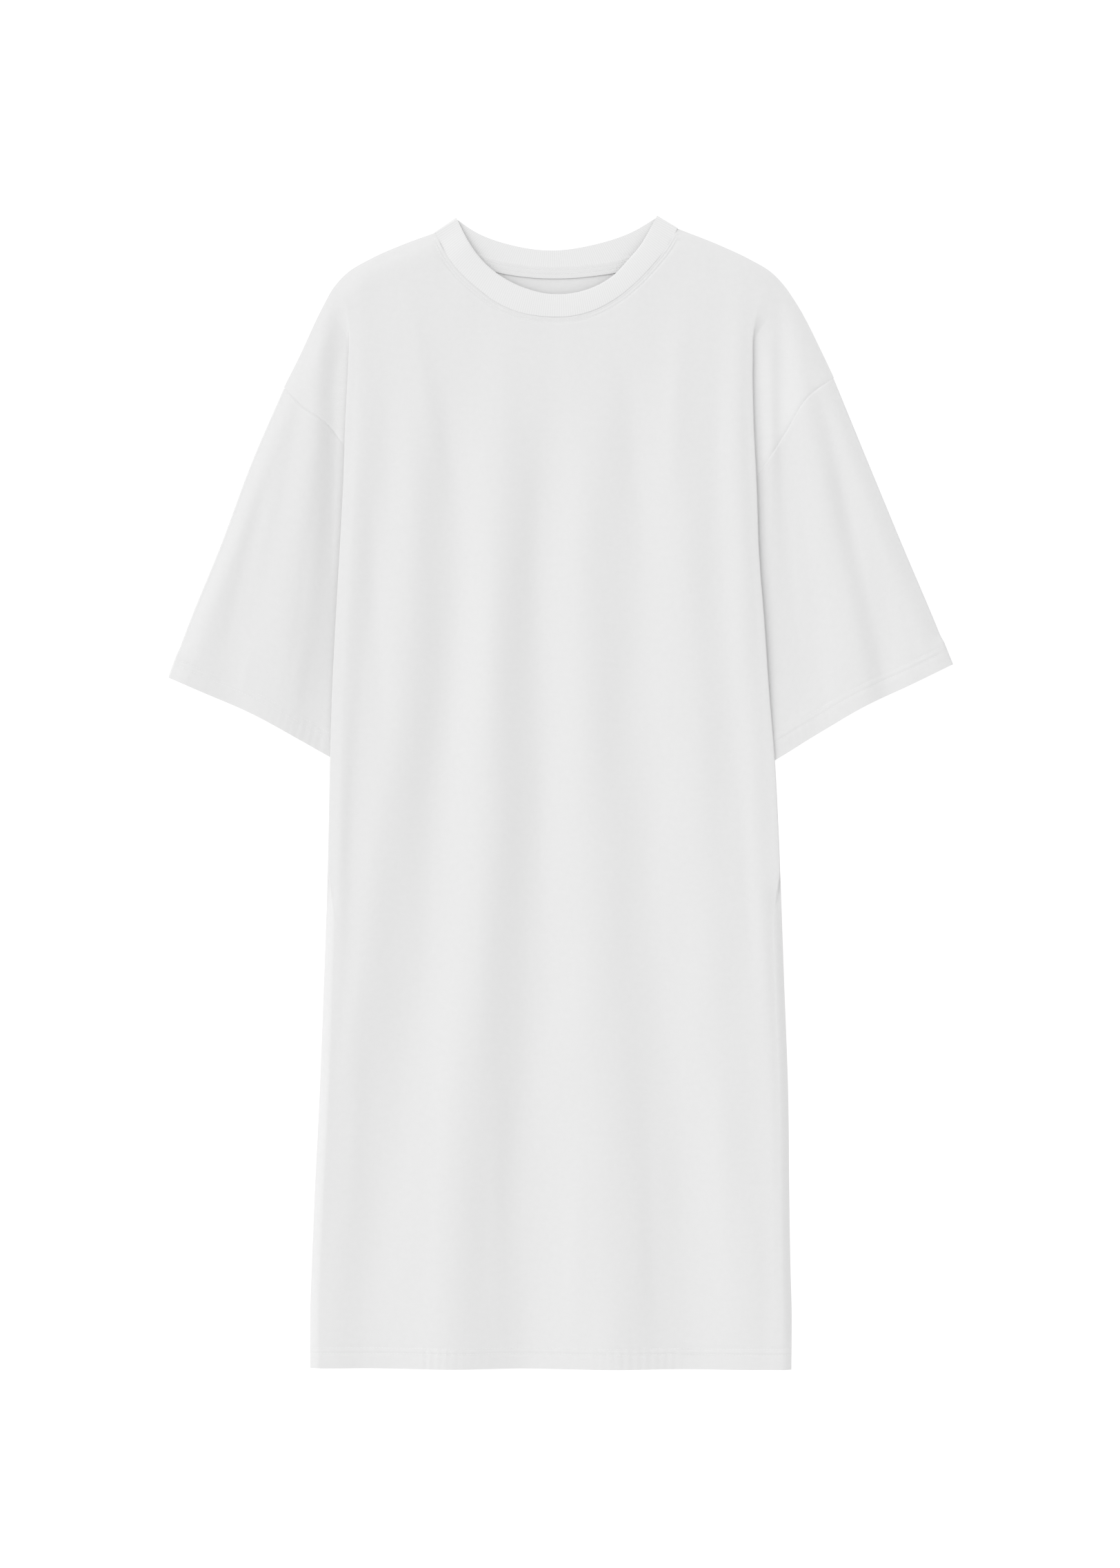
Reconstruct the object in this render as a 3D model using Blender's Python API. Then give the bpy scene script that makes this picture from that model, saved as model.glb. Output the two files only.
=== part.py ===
"""An oversized T-shirt dress in white cotton jersey, laid out on its back on a flat surface.

The panels lie on each other: the back panel and the undersides of the sleeves rest flat at
z = 0, and the front panel, with its vertical folds, lies over them. At each side the front
is laid in a pleat that opens at the drop of the shoulder, so that the sleeve goes under the
body's edge. X runs across the body, the wearer's left at +X, Y up to the neck and Z up.

Lengths are in millimetres, and cloth_object() turns them to metres.
"""

import bpy
import numpy as np

MM = 0.001

# The cloth
WALL = 1.0  # jersey, drawn at the thickness of a handled sheet
HEM_DEPTH = 20.0  # hem allowance, turned up inside and sewn with two rows
HEM_STEP = 2.0  # length over which the wall thickens into the turned hem
BAND_WALL = 2.0  # neckband, folded double
SEAM_GAP = 0.4  # between neighbouring pieces at a seam

# Heights of the outer face over the surface
SEAM_TOP = 3.0  # the upper layer where it is sewn to the lower one or tucked away
BAND_TIP_TOP = 4.9  # the neckband where it turns over at the neck points
EDGE_ROUND = 20.0  # width over which a laid edge rises from its seam
PLEAT_LAYERS = 3.0  # the pleat's under layer to the front over it, face to face
LAID_STRIP = 6.0  # width of front that lies flat on the back beside the side seam
SIDE_ROLL = 10.0  # width of the rolled side edge below the pleat's lower end
HEM_EDGE_LIFT = 2.3  # what the doubled cuff adds to the height of the sleeve's folded edges

# The pleat starts below the shoulder and runs out below the sleeve
PLEAT_TOP, UNDERARM_LEVEL = 504.0, 262.0
RUN_OUT_TOP, RUN_OUT_END = -58.0, -92.0
LEAST_STRIP = 1.5  # least width of the under layer where the pleat opens
PLEAT_SOFTNESS = 0.05  # how fast the pleat's turns widen as it opens, per millimetre of run
PLEAT_SLACK, PLEAT_SLACK_RUN = 0.08, 2.0  # how much tighter they are where it begins to open
STEEP, SHALLOW = 0.45 * np.pi, 0.25 * np.pi  # between these slopes its points spread evenly
BULGE_SHARE = 0.35  # share of the armhole's depth that follows the shoulder's curve
LINE_STEPS = 200

# Depth of the pleat beside the arm: level, depth. Below nought its two fold lines lie apart
PLEAT_DEPTH = (
    (262, 43.6), (320, 31.5), (380, 19.0), (415, 9.0), (440, 1.5), (470, -5.5), (504, -12.0),
)

# Bottom edge of the dress at its right and left side seams
HEM_LEFT_X, HEM_RIGHT_X = 224.8, -244.3
HEM_LEFT_Y, HEM_RIGHT_Y = -561.2, -559.4

# Body edge as laid: level, right edge, left edge
BODY_EDGE = (
    (-562, -244.3, 224.8), (-504, -244.3, 225.2), (-464, -242.9, 224.1),
    (-383, -239.6, 222.8), (-302, -235.6, 222.0), (-181, -230.8, 217.8),
    (-60, -226.8, 213.3), (36, -224.8, 208.5), (101, -222.8, 203.2),
    (169, -219.4, 198.5), (236, -215.6, 193.4), (300, -212.2, 191.2),
    (365, -210.0, 188.2), (420, -207.3, 187.4), (459, -206.6, 189.3),
    (486, -210.8, 197.0), (504, -213.5, 203.5),
)

# Side seam under the front: level, right side, left side. Below it is at the body edge
SIDE_SEAM = (
    (-62, -227.0, 213.4), (-36, -213.0, 199.5), (-12, -194.0, 180.5),
    (12, -181.0, 166.5), (60, -176.5, 158.0), (150, -175.0, 153.5),
    (262, -176.0, 155.0),
)

# Outline of each shoulder from neck seam to armhole: x, y
SHOULDER = {
    "right": (
        (-122.5, 546.8), (-154.0, 535.2), (-185.7, 521.2), (-208.0, 507.8),
        (-220.7, 494.3), (-232.2, 474.1), (-255.7, 424.3), (-269.9, 396.1),
    ),
    "left": (
        (113.7, 550.9), (154.8, 534.7), (183.7, 521.2), (205.9, 507.8),
        (218.7, 494.3), (232.2, 474.1), (253.2, 433.4), (266.4, 405.5),
    ),
}
ARMHOLE = {
    "right": (
        (-269.9, 396.1), (-250.0, 376.0), (-228.8, 361.5), (-210.6, 338.2),
        (-186.0, 300.0), (-178.0, 262.0),
    ),
    "left": (
        (266.4, 405.5), (242.3, 388.0), (216.0, 347.1), (191.8, 311.3),
        (166.0, 284.0), (157.0, 262.0),
    ),
}
SLEEVE_OUTER = {
    "right": (
        (-269.9, 396.1), (-301.5, 323.4), (-331.8, 242.6), (-364.8, 161.9),
        (-382.6, 113.2),
    ),
    "left": (
        (266.4, 405.5), (300.2, 323.4), (333.8, 242.6), (368.1, 161.9),
        (382.6, 126.2),
    ),
}
CUFF = {
    "right": (
        (-382.6, 113.2), (-350.6, 99.3), (-302.2, 78.4), (-253.7, 52.2),
        (-224.8, 36.0), (-190.5, 19.0),
    ),
    "left": (
        (382.6, 126.2), (343.9, 107.3), (295.4, 84.5), (247.0, 56.2),
        (209.3, 33.3), (176.5, 16.5),
    ),
}

# Neck: seam and free edge of the band, front and back, from the right neck point to the left
NECK_SEAM_FRONT = (
    (-122.5, 546.8), (-111.7, 525.3), (-98.3, 507.8), (-80.1, 491.3), (-62.3, 478.2),
    (-42.4, 469.4), (-17.2, 464.8), (9.9, 465.0), (33.3, 471.2), (55.0, 483.1),
    (73.0, 497.7), (90.9, 516.5), (103.6, 532.7), (113.7, 550.9),
)
NECK_FREE_FRONT = (
    (-100.9, 559.6), (-91.1, 540.1), (-80.2, 523.9), (-67.6, 511.1), (-38.8, 494.0),
    (-2.7, 486.4), (33.3, 494.0), (51.1, 504.7), (65.8, 520.1), (76.6, 532.7),
    (92.9, 561.3),
)
NECK_SEAM_BACK = (
    (-122.5, 546.8), (-99.0, 532.8), (-73.0, 521.2), (-40.0, 514.0), (-6.1, 511.8),
    (28.0, 513.8), (61.9, 519.9), (89.0, 532.6), (113.7, 550.9),
)
NECK_FREE_BACK = (
    (-100.9, 559.6), (-84.1, 548.2), (-47.1, 534.7), (-8.7, 529.7), (29.6, 534.7),
    (70.7, 548.2), (92.9, 561.3),
)

# Back neck tape: width, wall, and the share of the back neck seam left bare at each end
TAPE_WIDTH, TAPE_WALL, TAPE_BARE = 9.6, 0.7, 0.09

# Folds of the front, from the right edge to the left one: ridges and the troughs between.
# Each row gives the fold's place across, then its height, at the levels below
FOLD_LEVELS = (-562, -437, -302, -168, -33, 101, 236, 344, 400, 460)
FRONT_FOLDS = {
    "right_roll": (
        (-234, -231, -227, -217, -214, -211, -203, -197, -196, -194),
        (8.8, 9.2, 10.0, 10.6, 11.3, 11.4, 11.2, 10.2, 9.0, 8.2),
    ),
    "right_side_trough": (
        (-229, -226, -222, -209, -204, -192, -178, -170, -170, -170),
        (8.7, 9.1, 9.9, 10.2, 9.6, 8.9, 8.5, 7.8, 7.7, 7.9),
    ),
    "right_side_ridge": (
        (-224, -220, -216, -194, -176, -155, -145, -142, -142, -142),
        (8.8, 9.2, 10.0, 11.4, 12.2, 12.5, 12.0, 10.2, 8.8, 8.0),
    ),
    "right_trough": (
        (-186, -180, -160, -138, -124, -110, -104, -104, -104, -104),
        (6.8, 6.2, 5.4, 4.8, 4.6, 4.8, 5.4, 6.6, 7.4, 7.9),
    ),
    "main_ridge": (
        (-107, -106, -91, -79, -71, -67, -63, -57, -56, -56),
        (13.6, 14.0, 14.6, 14.8, 14.8, 14.4, 13.4, 11.0, 9.0, 8.0),
    ),
    "middle_trough": (
        (-35, -34, -31, -25, -19.5, -19.5, -20.5, -17, -17, -17),
        (5.2, 4.6, 4.2, 4.0, 4.0, 4.2, 4.8, 6.4, 7.4, 7.9),
    ),
    "middle_ridge": (
        (51, 46, 42, 35, 31, 24, 25, 28, 28, 28),
        (12.6, 12.6, 12.2, 11.6, 11.2, 11.4, 11.2, 9.8, 8.7, 8.0),
    ),
    "left_trough": (
        (124, 122, 106, 95, 85, 72, 75, 75, 75, 75),
        (5.4, 4.8, 4.6, 4.8, 5.0, 5.4, 6.0, 6.8, 7.5, 7.9),
    ),
    "left_side_ridge": (
        (188, 181, 160, 149, 139, 131, 121, 115, 115, 115),
        (9.2, 9.8, 10.4, 11.0, 11.6, 12.0, 11.4, 9.8, 8.7, 8.0),
    ),
    "left_side_trough": (
        (202, 197, 190, 184, 173, 163, 154, 150, 150, 150),
        (8.7, 9.0, 9.4, 9.6, 9.4, 9.0, 8.5, 7.8, 7.7, 7.9),
    ),
    "left_roll": (
        (213, 210, 206, 197, 189, 182, 176, 172, 171, 171),
        (8.8, 9.1, 9.8, 10.4, 10.9, 11.0, 10.9, 10.2, 9.0, 8.2),
    ),
}

# Height of the pleat's under layer, outer face down: level, height
PLEAT_HEIGHT = ((-110, 5.8), (-30, 5.8), (240, 5.8), (344, 5.0), (400, 4.5), (504, 4.2))

# Folds of the shoulder drop and sleeve, from beside the body outwards: distance from the
# middle of the body, then height, at the levels below
ARM_LEVELS = (14, 60, 124, 200, 285, 344, 400, 440, 490)
ARM_FOLDS = {
    "right": {
        "tuck": (
            (227, 226, 225, 221, 218, 217, 217, 216, 217),
            (4.9, 4.9, 3.2, 2.9, 2.8, 2.8, 2.8, 3.3, 6.2),
        ),
        "ridge": (
            (272, 280, 271, 258, 247, 242, 239, 234, 229),
            (9.6, 10.6, 11.4, 11.4, 11.0, 10.0, 9.0, 7.8, 6.9),
        ),
        "trough": (
            (318, 326, 324, 306, 284, 267, 252, 243, 236),
            (7.4, 7.6, 7.6, 7.8, 7.8, 7.8, 7.8, 7.6, 6.8),
        ),
        "outer_ridge": (
            (345, 352, 352, 332, 304, 284, 264, 252, 243),
            (8.6, 8.8, 9.0, 9.0, 8.8, 8.4, 8.0, 7.8, 7.0),
        ),
    },
    "left": {
        "tuck": (
            (211, 209, 205, 199, 195, 194, 193, 194, 200),
            (4.9, 4.9, 3.2, 2.9, 2.8, 2.8, 2.8, 3.3, 6.2),
        ),
        "small_ridge": (
            (220, 217, 214, 209, 206, 205, 204, 204, 207),
            (5.2, 5.0, 3.6, 3.8, 4.6, 5.6, 5.9, 5.9, 6.4),
        ),
        "inner_trough": (
            (240, 238, 232, 225, 219, 215, 214, 214, 214),
            (5.0, 4.9, 3.6, 3.3, 3.3, 3.4, 3.5, 4.1, 6.3),
        ),
        "ridge": (
            (292, 298, 291, 276, 258, 246, 237, 230, 225),
            (9.4, 10.4, 11.2, 11.4, 11.0, 10.0, 9.0, 7.8, 6.9),
        ),
        "trough": (
            (316, 323, 317, 301, 281, 266, 250, 240, 233),
            (6.4, 6.4, 6.4, 6.6, 6.8, 7.2, 7.6, 7.6, 6.8),
        ),
        "outer_ridge": (
            (340, 350, 344, 328, 303, 284, 262, 250, 242),
            (8.4, 8.8, 9.0, 9.0, 8.8, 8.4, 8.0, 7.8, 7.0),
        ),
    },
}

# How finely each piece is divided
SKIRT_LEVELS = (
    205, 150, 95, 50, 20, -8, -32, -50, -62, -69, -75, -79, -84, -90, -98, -110, -128, -200,
    -290, -380, -465,
)
FRONT_COLUMNS = {"under": 5, "turn": 3, "pleat": 2, "shoulder": 4}
NECK_STEPS_FRONT, NECK_STEPS_BACK, SHOULDER_STEPS_BACK = 22, 16, 4
SLEEVE_ROWS, SLEEVE_TURN = 10, 3
SLEEVE_LENGTH = 300.0  # for sharing out the sleeve's rows
SLEEVE_INSET, SLEEVE_INSET_REACH = 0.0135, 0.15  # shares: how far the outer turn is set in
BAND_TURN, BAND_ACROSS = 4, 3
TAPE_ALONG = 16
BAND_TIP_SHARE = 0.12  # share of the front neck over which the band comes down to its tip

# Grey level and roughness of each cloth
JERSEY, RIB, TWILL = (0.80, 0.85), (0.78, 0.88), (0.76, 0.80)

SIGN = {"right": -1.0, "left": 1.0}
SIDE_COLUMN = {"right": 1, "left": 2}


def smooth(at, knots, values):
    """Values at the given places on a curve through the knots. Each knot's slope is that of
    the parabola through it and its neighbours, and between knots the curve is a cubic."""
    knots, values = np.asarray(knots, float), np.asarray(values, float)
    at = np.asarray(at, float)
    slopes = np.gradient(values, knots, axis=0)
    i = np.clip(np.searchsorted(knots, at) - 1, 0, len(knots) - 2)
    width = knots[i + 1] - knots[i]
    s = np.clip((at - knots[i]) / width, 0, 1)
    if values.ndim > 1:
        s, width = s[..., None], width[..., None]
    start = (2 * s**3 - 3 * s**2 + 1) * values[i] + (s**3 - 2 * s**2 + s) * width * slopes[i]
    end = (3 * s**2 - 2 * s**3) * values[i + 1] + (s**3 - s**2) * width * slopes[i + 1]
    return start + end


def path(points, share):
    """Points at the given shares of the length of the smooth curve through a few points."""
    points = np.asarray(points, float)
    steps = np.hypot(*np.diff(points, axis=0).T)
    knots = np.concatenate([[0.0], np.cumsum(steps)]) / steps.sum()
    return smooth(share, knots, points)


def level(table, y, column=1):
    """A table's column at height y up the dress."""
    rows = np.asarray(table, float)
    return smooth(y, rows[:, 0], rows[:, column])


def ease(t):
    """0 to 1 along half a cosine wave, level at both ends."""
    return 0.5 - 0.5 * np.cos(np.pi * np.clip(t, 0, 1))


def inward(points, side_on_left, distance):
    """A curve in the plane moved sideways by a distance, to its left or its right."""
    run = np.gradient(points, axis=0)
    run /= np.linalg.norm(run, axis=1)[:, None]
    normal = np.stack([-run[:, 1], run[:, 0]], axis=1)
    return points + (distance if side_on_left else -distance) * normal


def hem_y(x):
    """Level of the bottom edge, a straight line from one side seam to the other."""
    t = (x - HEM_RIGHT_X) / (HEM_LEFT_X - HEM_RIGHT_X)
    return HEM_RIGHT_Y + (HEM_LEFT_Y - HEM_RIGHT_Y) * t


def hem_lift(y):
    """Extra height over the turned hem of the layer below."""
    return ease((hem_y(0) + HEM_DEPTH + 6 * HEM_STEP - y) / (6 * HEM_STEP))


def distance(line, x, y):
    """Distance in the plane from each place to a line through points."""
    nearest = np.full(np.shape(x), np.inf)
    for a, b in zip(line[:-1], line[1:]):
        run = b - a
        t = np.clip(((x - a[0]) * run[0] + (y - a[1]) * run[1]) / (run @ run), 0, 1)
        nearest = np.minimum(nearest, np.hypot(x - a[0] - t * run[0], y - a[1] - t * run[1]))
    return nearest


def edge_rise(x, y):
    """0 on the outline of the shoulders and sleeves, 1 from EDGE_ROUND inside it, round
    like a quarter of a sine wave between."""
    nearest = [distance(np.concatenate([
        path(SHOULDER[side], np.linspace(0, 1, 25)),
        path(SLEEVE_OUTER[side], np.linspace(0, 1, 12))[1:],
    ]), x, y) for side in SIGN]
    return np.sin(0.5 * np.pi * np.clip(np.minimum(*nearest) / EDGE_ROUND, 0, 1))


def cuff_lift(side, x, y):
    """1 over a sleeve's doubled cuff hem, 0 from a little above it."""
    off = distance(path(CUFF[side], np.linspace(0, 1, 12)), x, y)
    return ease((HEM_DEPTH + 6 * HEM_STEP - off) / (5 * HEM_STEP))


def across(x, places, heights, round_start=0.0, round_end=0.0):
    """Height of a folded layer at x: half a cosine wave from each fold line to the next. At
    the two ends it may rise round, like a quarter of a sine wave, instead."""
    z = heights[0]
    last = len(places) - 2
    for k in range(last + 1):
        t = np.clip((x - places[k]) / (places[k + 1] - places[k]), 0, 1)
        step = ease(t)
        if k == 0:
            step = step + round_start * (np.sin(0.5 * np.pi * t) - step)
        elif k == last:
            step = step + round_end * (1 - np.cos(0.5 * np.pi * t) - step)
        z = z + (heights[k + 1] - heights[k]) * step
    return z


def laid_strip(y):
    """Width of the front laid on the back beside the side seam. It runs out below the sleeve,
    and below nought it says how far the side edge has rolled open."""
    return LAID_STRIP * (1 - np.maximum(RUN_OUT_TOP - y, 0) / (RUN_OUT_TOP - RUN_OUT_END))


def turns(y):
    """Radii of the side pleat's inner turn and its outer one, on the outer face."""
    return 0.5 * (level(PLEAT_HEIGHT, y) - SEAM_TOP), 0.5 * PLEAT_LAYERS


def pleat_reach(y):
    """How far inside the body's edge the front's open face begins."""
    inner, outer = turns(y)
    rolled = np.clip(inner + outer + LEAST_STRIP - laid_strip(y), outer, SIDE_ROLL)
    return np.where(y < 0, rolled, outer)


def pleat_run(side, y):
    """How far outside the open face's edge the pleat's inner turn ends: below nought they
    overlap, and above it the pleat has opened into a step."""
    inner, outer = turns(y)
    column = SIDE_COLUMN[side]
    beside = SIGN[side] * (level(BODY_EDGE, y, column) - level(SIDE_SEAM, y, column))
    beside = np.where(y > SIDE_SEAM[0][0], beside, 0.0)
    low = pleat_reach(y) - np.maximum(laid_strip(y) - inner, LEAST_STRIP) - beside
    return np.where(y >= UNDERARM_LEVEL, inner + outer - level(PLEAT_DEPTH, y), low)


def loosened(side, y):
    """1 below the pleat, where the front only rolls over to its seam, and 0 above."""
    most = SIDE_ROLL - LEAST_STRIP
    return np.where(y < 0, ease((pleat_run(side, y) - LEAST_STRIP) / (most - LEAST_STRIP)), 0.0)


def pleat_start(side, y):
    """Where the front's open face begins, just inside the body's edge."""
    return level(BODY_EDGE, y, SIDE_COLUMN[side]) - SIGN[side] * pleat_reach(y)


def seam_height(y):
    """Outer face of the front at its side seam, lifted where both hems are double."""
    return SEAM_TOP + 2 * WALL * hem_lift(y)


def front_height(x, y):
    """Outer face of the front: its folds, let down to the seams at the shoulders."""
    seam = seam_height(y)
    places = [smooth(y, FOLD_LEVELS, xs) for xs, _ in FRONT_FOLDS.values()]
    heights = [smooth(y, FOLD_LEVELS, zs) for _, zs in FRONT_FOLDS.values()]
    loose = {side: loosened(side, y) for side in SIGN}
    for side, at in (("right", 0), ("left", len(places) + 1)):
        edge = level(BODY_EDGE, y, SIDE_COLUMN[side])
        folded_top = level(PLEAT_HEIGHT, y) + PLEAT_LAYERS
        places.insert(at, loose[side] * edge + (1 - loose[side]) * pleat_start(side, y))
        heights.insert(at, loose[side] * seam + (1 - loose[side]) * folded_top)
    z = across(x, places, heights, loose["right"], loose["left"])
    return SEAM_TOP + (z - SEAM_TOP) * edge_rise(x, y)


def arm_height(side, x, y):
    """Outer face of the shoulder drop and of the sleeve's upper layer."""
    out = SIGN[side] * x
    body = SIGN[side] * level(BODY_EDGE, y, SIDE_COLUMN[side])
    low = smooth(y, ARM_LEVELS, ARM_FOLDS[side]["tuck"][1])
    places, heights = [body - 4.0], [np.where(y > UNDERARM_LEVEL, SEAM_TOP, low)]
    for xs, zs in ARM_FOLDS[side].values():
        places.append(smooth(y, ARM_LEVELS, xs))
        heights.append(smooth(y, ARM_LEVELS, zs))
    z = across(out, places, heights)
    edge = SEAM_TOP + HEM_EDGE_LIFT * cuff_lift(side, x, y)
    return edge + (np.maximum(z, edge) - edge) * edge_rise(x, y)


def material(name, grey, roughness):
    found = bpy.data.materials.new(name)
    found.use_nodes = True
    shader = found.node_tree.nodes["Principled BSDF"]
    shader.inputs["Base Color"].default_value = (grey, grey, grey, 1)
    shader.inputs["Roughness"].default_value = roughness
    shader.inputs["Metallic"].default_value = 0
    return found


def cloth_object(name, grid, plies, wall, look, closed_rows=False, closed_columns=False):
    """A piece of cloth: its outer face is the grid, whose rows x columns turn outwards, and
    Solidify gives it a wall on the inside, once or twice the cloth's thickness by plies."""
    rows, columns = grid.shape[:2]
    i, j = np.meshgrid(
        np.arange(rows if closed_rows else rows - 1),
        np.arange(columns if closed_columns else columns - 1),
        indexing="ij",
    )
    below, beside = (i + 1) % rows, (j + 1) % columns
    corners = (i * columns + j, below * columns + j, below * columns + beside, i * columns + beside)
    quads = np.stack([c.ravel() for c in corners], axis=1)
    mesh = bpy.data.meshes.new(name)
    mesh.from_pydata((grid.reshape(-1, 3) * MM).tolist(), [], quads.tolist())
    mesh.materials.append(look)
    mesh.shade_smooth()
    piece = bpy.data.objects.new(name, mesh)
    bpy.context.scene.collection.objects.link(piece)
    group = piece.vertex_groups.new(name="plies")
    most = float(np.max(plies))
    flat_plies = np.broadcast_to(plies, (rows, columns)).ravel()
    for count in np.unique(flat_plies):
        group.add(np.flatnonzero(flat_plies == count).tolist(), float(count) / most, "REPLACE")
    solidify = piece.modifiers.new("wall", "SOLIDIFY")
    solidify.thickness = wall * most * MM
    solidify.offset = -1
    solidify.vertex_group = "plies"
    solidify.thickness_vertex_group = 0
    return piece


def body_length():
    return PLEAT_TOP - hem_y(0)


def underarm_share():
    return (PLEAT_TOP - UNDERARM_LEVEL) / body_length()


def arm_shares():
    """Shares of the way from the shoulder to the underarm, close together at the top. The
    front, the back and the sleeves have the same ones, so that their armholes match."""
    top = np.array([0, 3, 7, 13, 22, 36, 55, 68]) / (PLEAT_TOP - UNDERARM_LEVEL)
    return np.concatenate([top, np.linspace(top[-2], 1, 7)[1:]])


def lengthwise_shares():
    """Shares of the way from the neck or shoulder to the hem: the armhole's own, then the
    skirt's levels, and one row each side of the hem's step."""
    hem = 1 + np.array([-HEM_DEPTH - HEM_STEP, -HEM_DEPTH, 0]) / body_length()
    skirt = (PLEAT_TOP - np.array(SKIRT_LEVELS)) / body_length()
    return np.concatenate([arm_shares() * underarm_share(), skirt, hem])


def seam_line(side, share):
    """The front and back panels' shared edge, armhole then side seam, at shares of the way
    from the shoulder to the hem."""
    underarm, column = underarm_share(), SIDE_COLUMN[side]
    in_arm = share <= underarm
    arm = inward(path(ARMHOLE[side], share[in_arm] / underarm), side == "right", 0.5 * SEAM_GAP)
    bottom = HEM_LEFT_Y if side == "left" else HEM_RIGHT_Y
    y = UNDERARM_LEVEL + (bottom - UNDERARM_LEVEL) * (share[~in_arm] - underarm) / (1 - underarm)
    lowest = SIDE_SEAM[0][0]
    x = np.where(y > lowest, level(SIDE_SEAM, y, column), level(BODY_EDGE, y, column))
    return np.concatenate([arm, np.stack([x, y], axis=1)])


def shoulder_top(side):
    """Level of the shoulder's outline at the body's edge, where the side strip begins."""
    line = path(SHOULDER[side], np.linspace(0, 1, LINE_STEPS))
    line = line[np.argsort(line[:, 0])]
    return np.interp(pleat_start(side, PLEAT_TOP), line[:, 0], line[:, 1])


def shoulder_bulge(side, edge, seam, share):
    """How far the shoulder's curve lies from the straight line between the body's edge and
    the armhole, at shares of that line."""
    line = path(SHOULDER[side], np.linspace(0, 1, LINE_STEPS))
    run = seam - edge
    on_line = (line - edge) @ run / (run @ run)
    curve = np.stack([np.interp(share, on_line, line[:, k]) for k in (0, 1)], axis=1)
    return curve - (edge + share[:, None] * run)


def side_strip(side, shares):
    """The front from its seam to the body's edge: under layer, inner turn, pleat and outer
    turn. Seen along the dress, the two turns are arcs and the pleat is the straight line that
    touches both. Where the pleat opens the arcs grow shorter and wider, and in the end the
    front only rolls over to its seam."""
    sign, n, underarm = SIGN[side], FRONT_COLUMNS, underarm_share()
    seam = seam_line(side, shares)
    seam_x, seam_y = seam[:, 0], seam[:, 1]
    y_edge = shoulder_top(side) + (seam_y[-1] - shoulder_top(side)) * shares
    start, run = pleat_start(side, y_edge), pleat_run(side, y_edge)
    opened = np.maximum(run, 0)
    y_inner = np.where(shares <= underarm, y_edge, seam_y)
    y_inner = y_inner + (seam_y - y_inner) * opened / np.abs(seam_x - start)
    x_inner = start + sign * run
    steps = n["turn"] + n["pleat"] + n["turn"]
    open_share = opened[0] / np.abs(seam_x[0] - start[0])
    share = np.concatenate([1 - (1 - open_share) * np.arange(n["under"]) / n["under"],
                            open_share * (1 - np.arange(steps) / steps)])
    near_top = np.clip(1 - shares / underarm / BULGE_SHARE, 0, 1) ** 2
    bulge = shoulder_bulge(side, np.array([start[0], y_edge[0]]), seam[0], share)
    aside, up = np.moveaxis(bulge * near_top[:, None, None], 2, 0)
    top = front_height(start, y_edge)
    foot = arm_height(side, x_inner + aside[:, n["under"]], y_inner + up[:, n["under"]])
    foot = np.where(shares <= underarm, foot, SEAM_TOP)
    rise = top - foot
    slack = 1 - PLEAT_SLACK * np.exp(-(run / PLEAT_SLACK_RUN) ** 2)
    radius = 0.5 * rise * slack + PLEAT_SOFTNESS * opened**2
    inner_share = turns(y_edge)[0] / sum(turns(y_edge))
    apart = np.hypot(run, rise - radius)
    angle = np.arcsin(np.clip(radius / apart, 0, 1)) + np.arctan2(rise - radius, run)
    inner, outer = inner_share * radius, (1 - inner_share) * radius
    shallow = ease((STEEP - angle) / (STEEP - SHALLOW))

    strip = []
    for c in range(n["under"]):
        f = c / n["under"]
        x = seam_x + f * (x_inner - seam_x) + aside[:, c]
        y = seam_y + f * (y_inner - seam_y) + up[:, c]
        strip.append((x, y, np.where(shares <= underarm, arm_height(side, x, y), SEAM_TOP)))
    for c in range(steps):
        y = y_inner + (y_edge - y_inner) * c / steps + up[:, n["under"] + c]
        a = angle * min(c / n["turn"], 1)
        x_low, z_low = run - inner * np.sin(a), foot + inner * (1 - np.cos(a))
        a = angle * min((steps - c) / n["turn"], 1)
        x_high, z_high = outer * np.sin(a), top - outer * (1 - np.cos(a))
        f = np.clip((c - n["turn"]) / n["pleat"], 0, 1)
        x, z = x_low + (x_high - x_low) * f, z_low + (z_high - z_low) * f
        even = run * (1 - c / steps)
        on_inner = np.clip(run - even, 0, inner * np.sin(angle))
        on_outer = np.clip(even, 0, outer * np.sin(angle))
        straight = (run - even - on_inner) * np.tan(np.minimum(angle, SHALLOW))
        between = foot + inner - np.sqrt(inner**2 - on_inner**2) + straight
        over = top - outer + np.sqrt(outer**2 - on_outer**2)
        even_z = np.where(even < outer * np.sin(angle), over, between)
        x, z = x + shallow * (even - x), z + shallow * (even_z - z)
        strip.append((start + sign * x + aside[:, n["under"] + c], y, z))
    strip = np.stack([np.stack(point, axis=1) for point in strip], axis=1)

    f = np.linspace(0, 1, strip.shape[1] + 1)[None, :-1]
    hemmed = seam_height(y_edge)[:, None]
    rolled = np.stack([
        seam_x[:, None] + f * (start - seam_x)[:, None],
        seam_y[:, None] + f * (y_edge - seam_y)[:, None],
        hemmed + (top[:, None] - hemmed) * np.sin(0.5 * np.pi * f),
    ], axis=2)
    loose = loosened(side, y_edge)[:, None, None]
    return (1 - loose) * strip + loose * rolled


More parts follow.
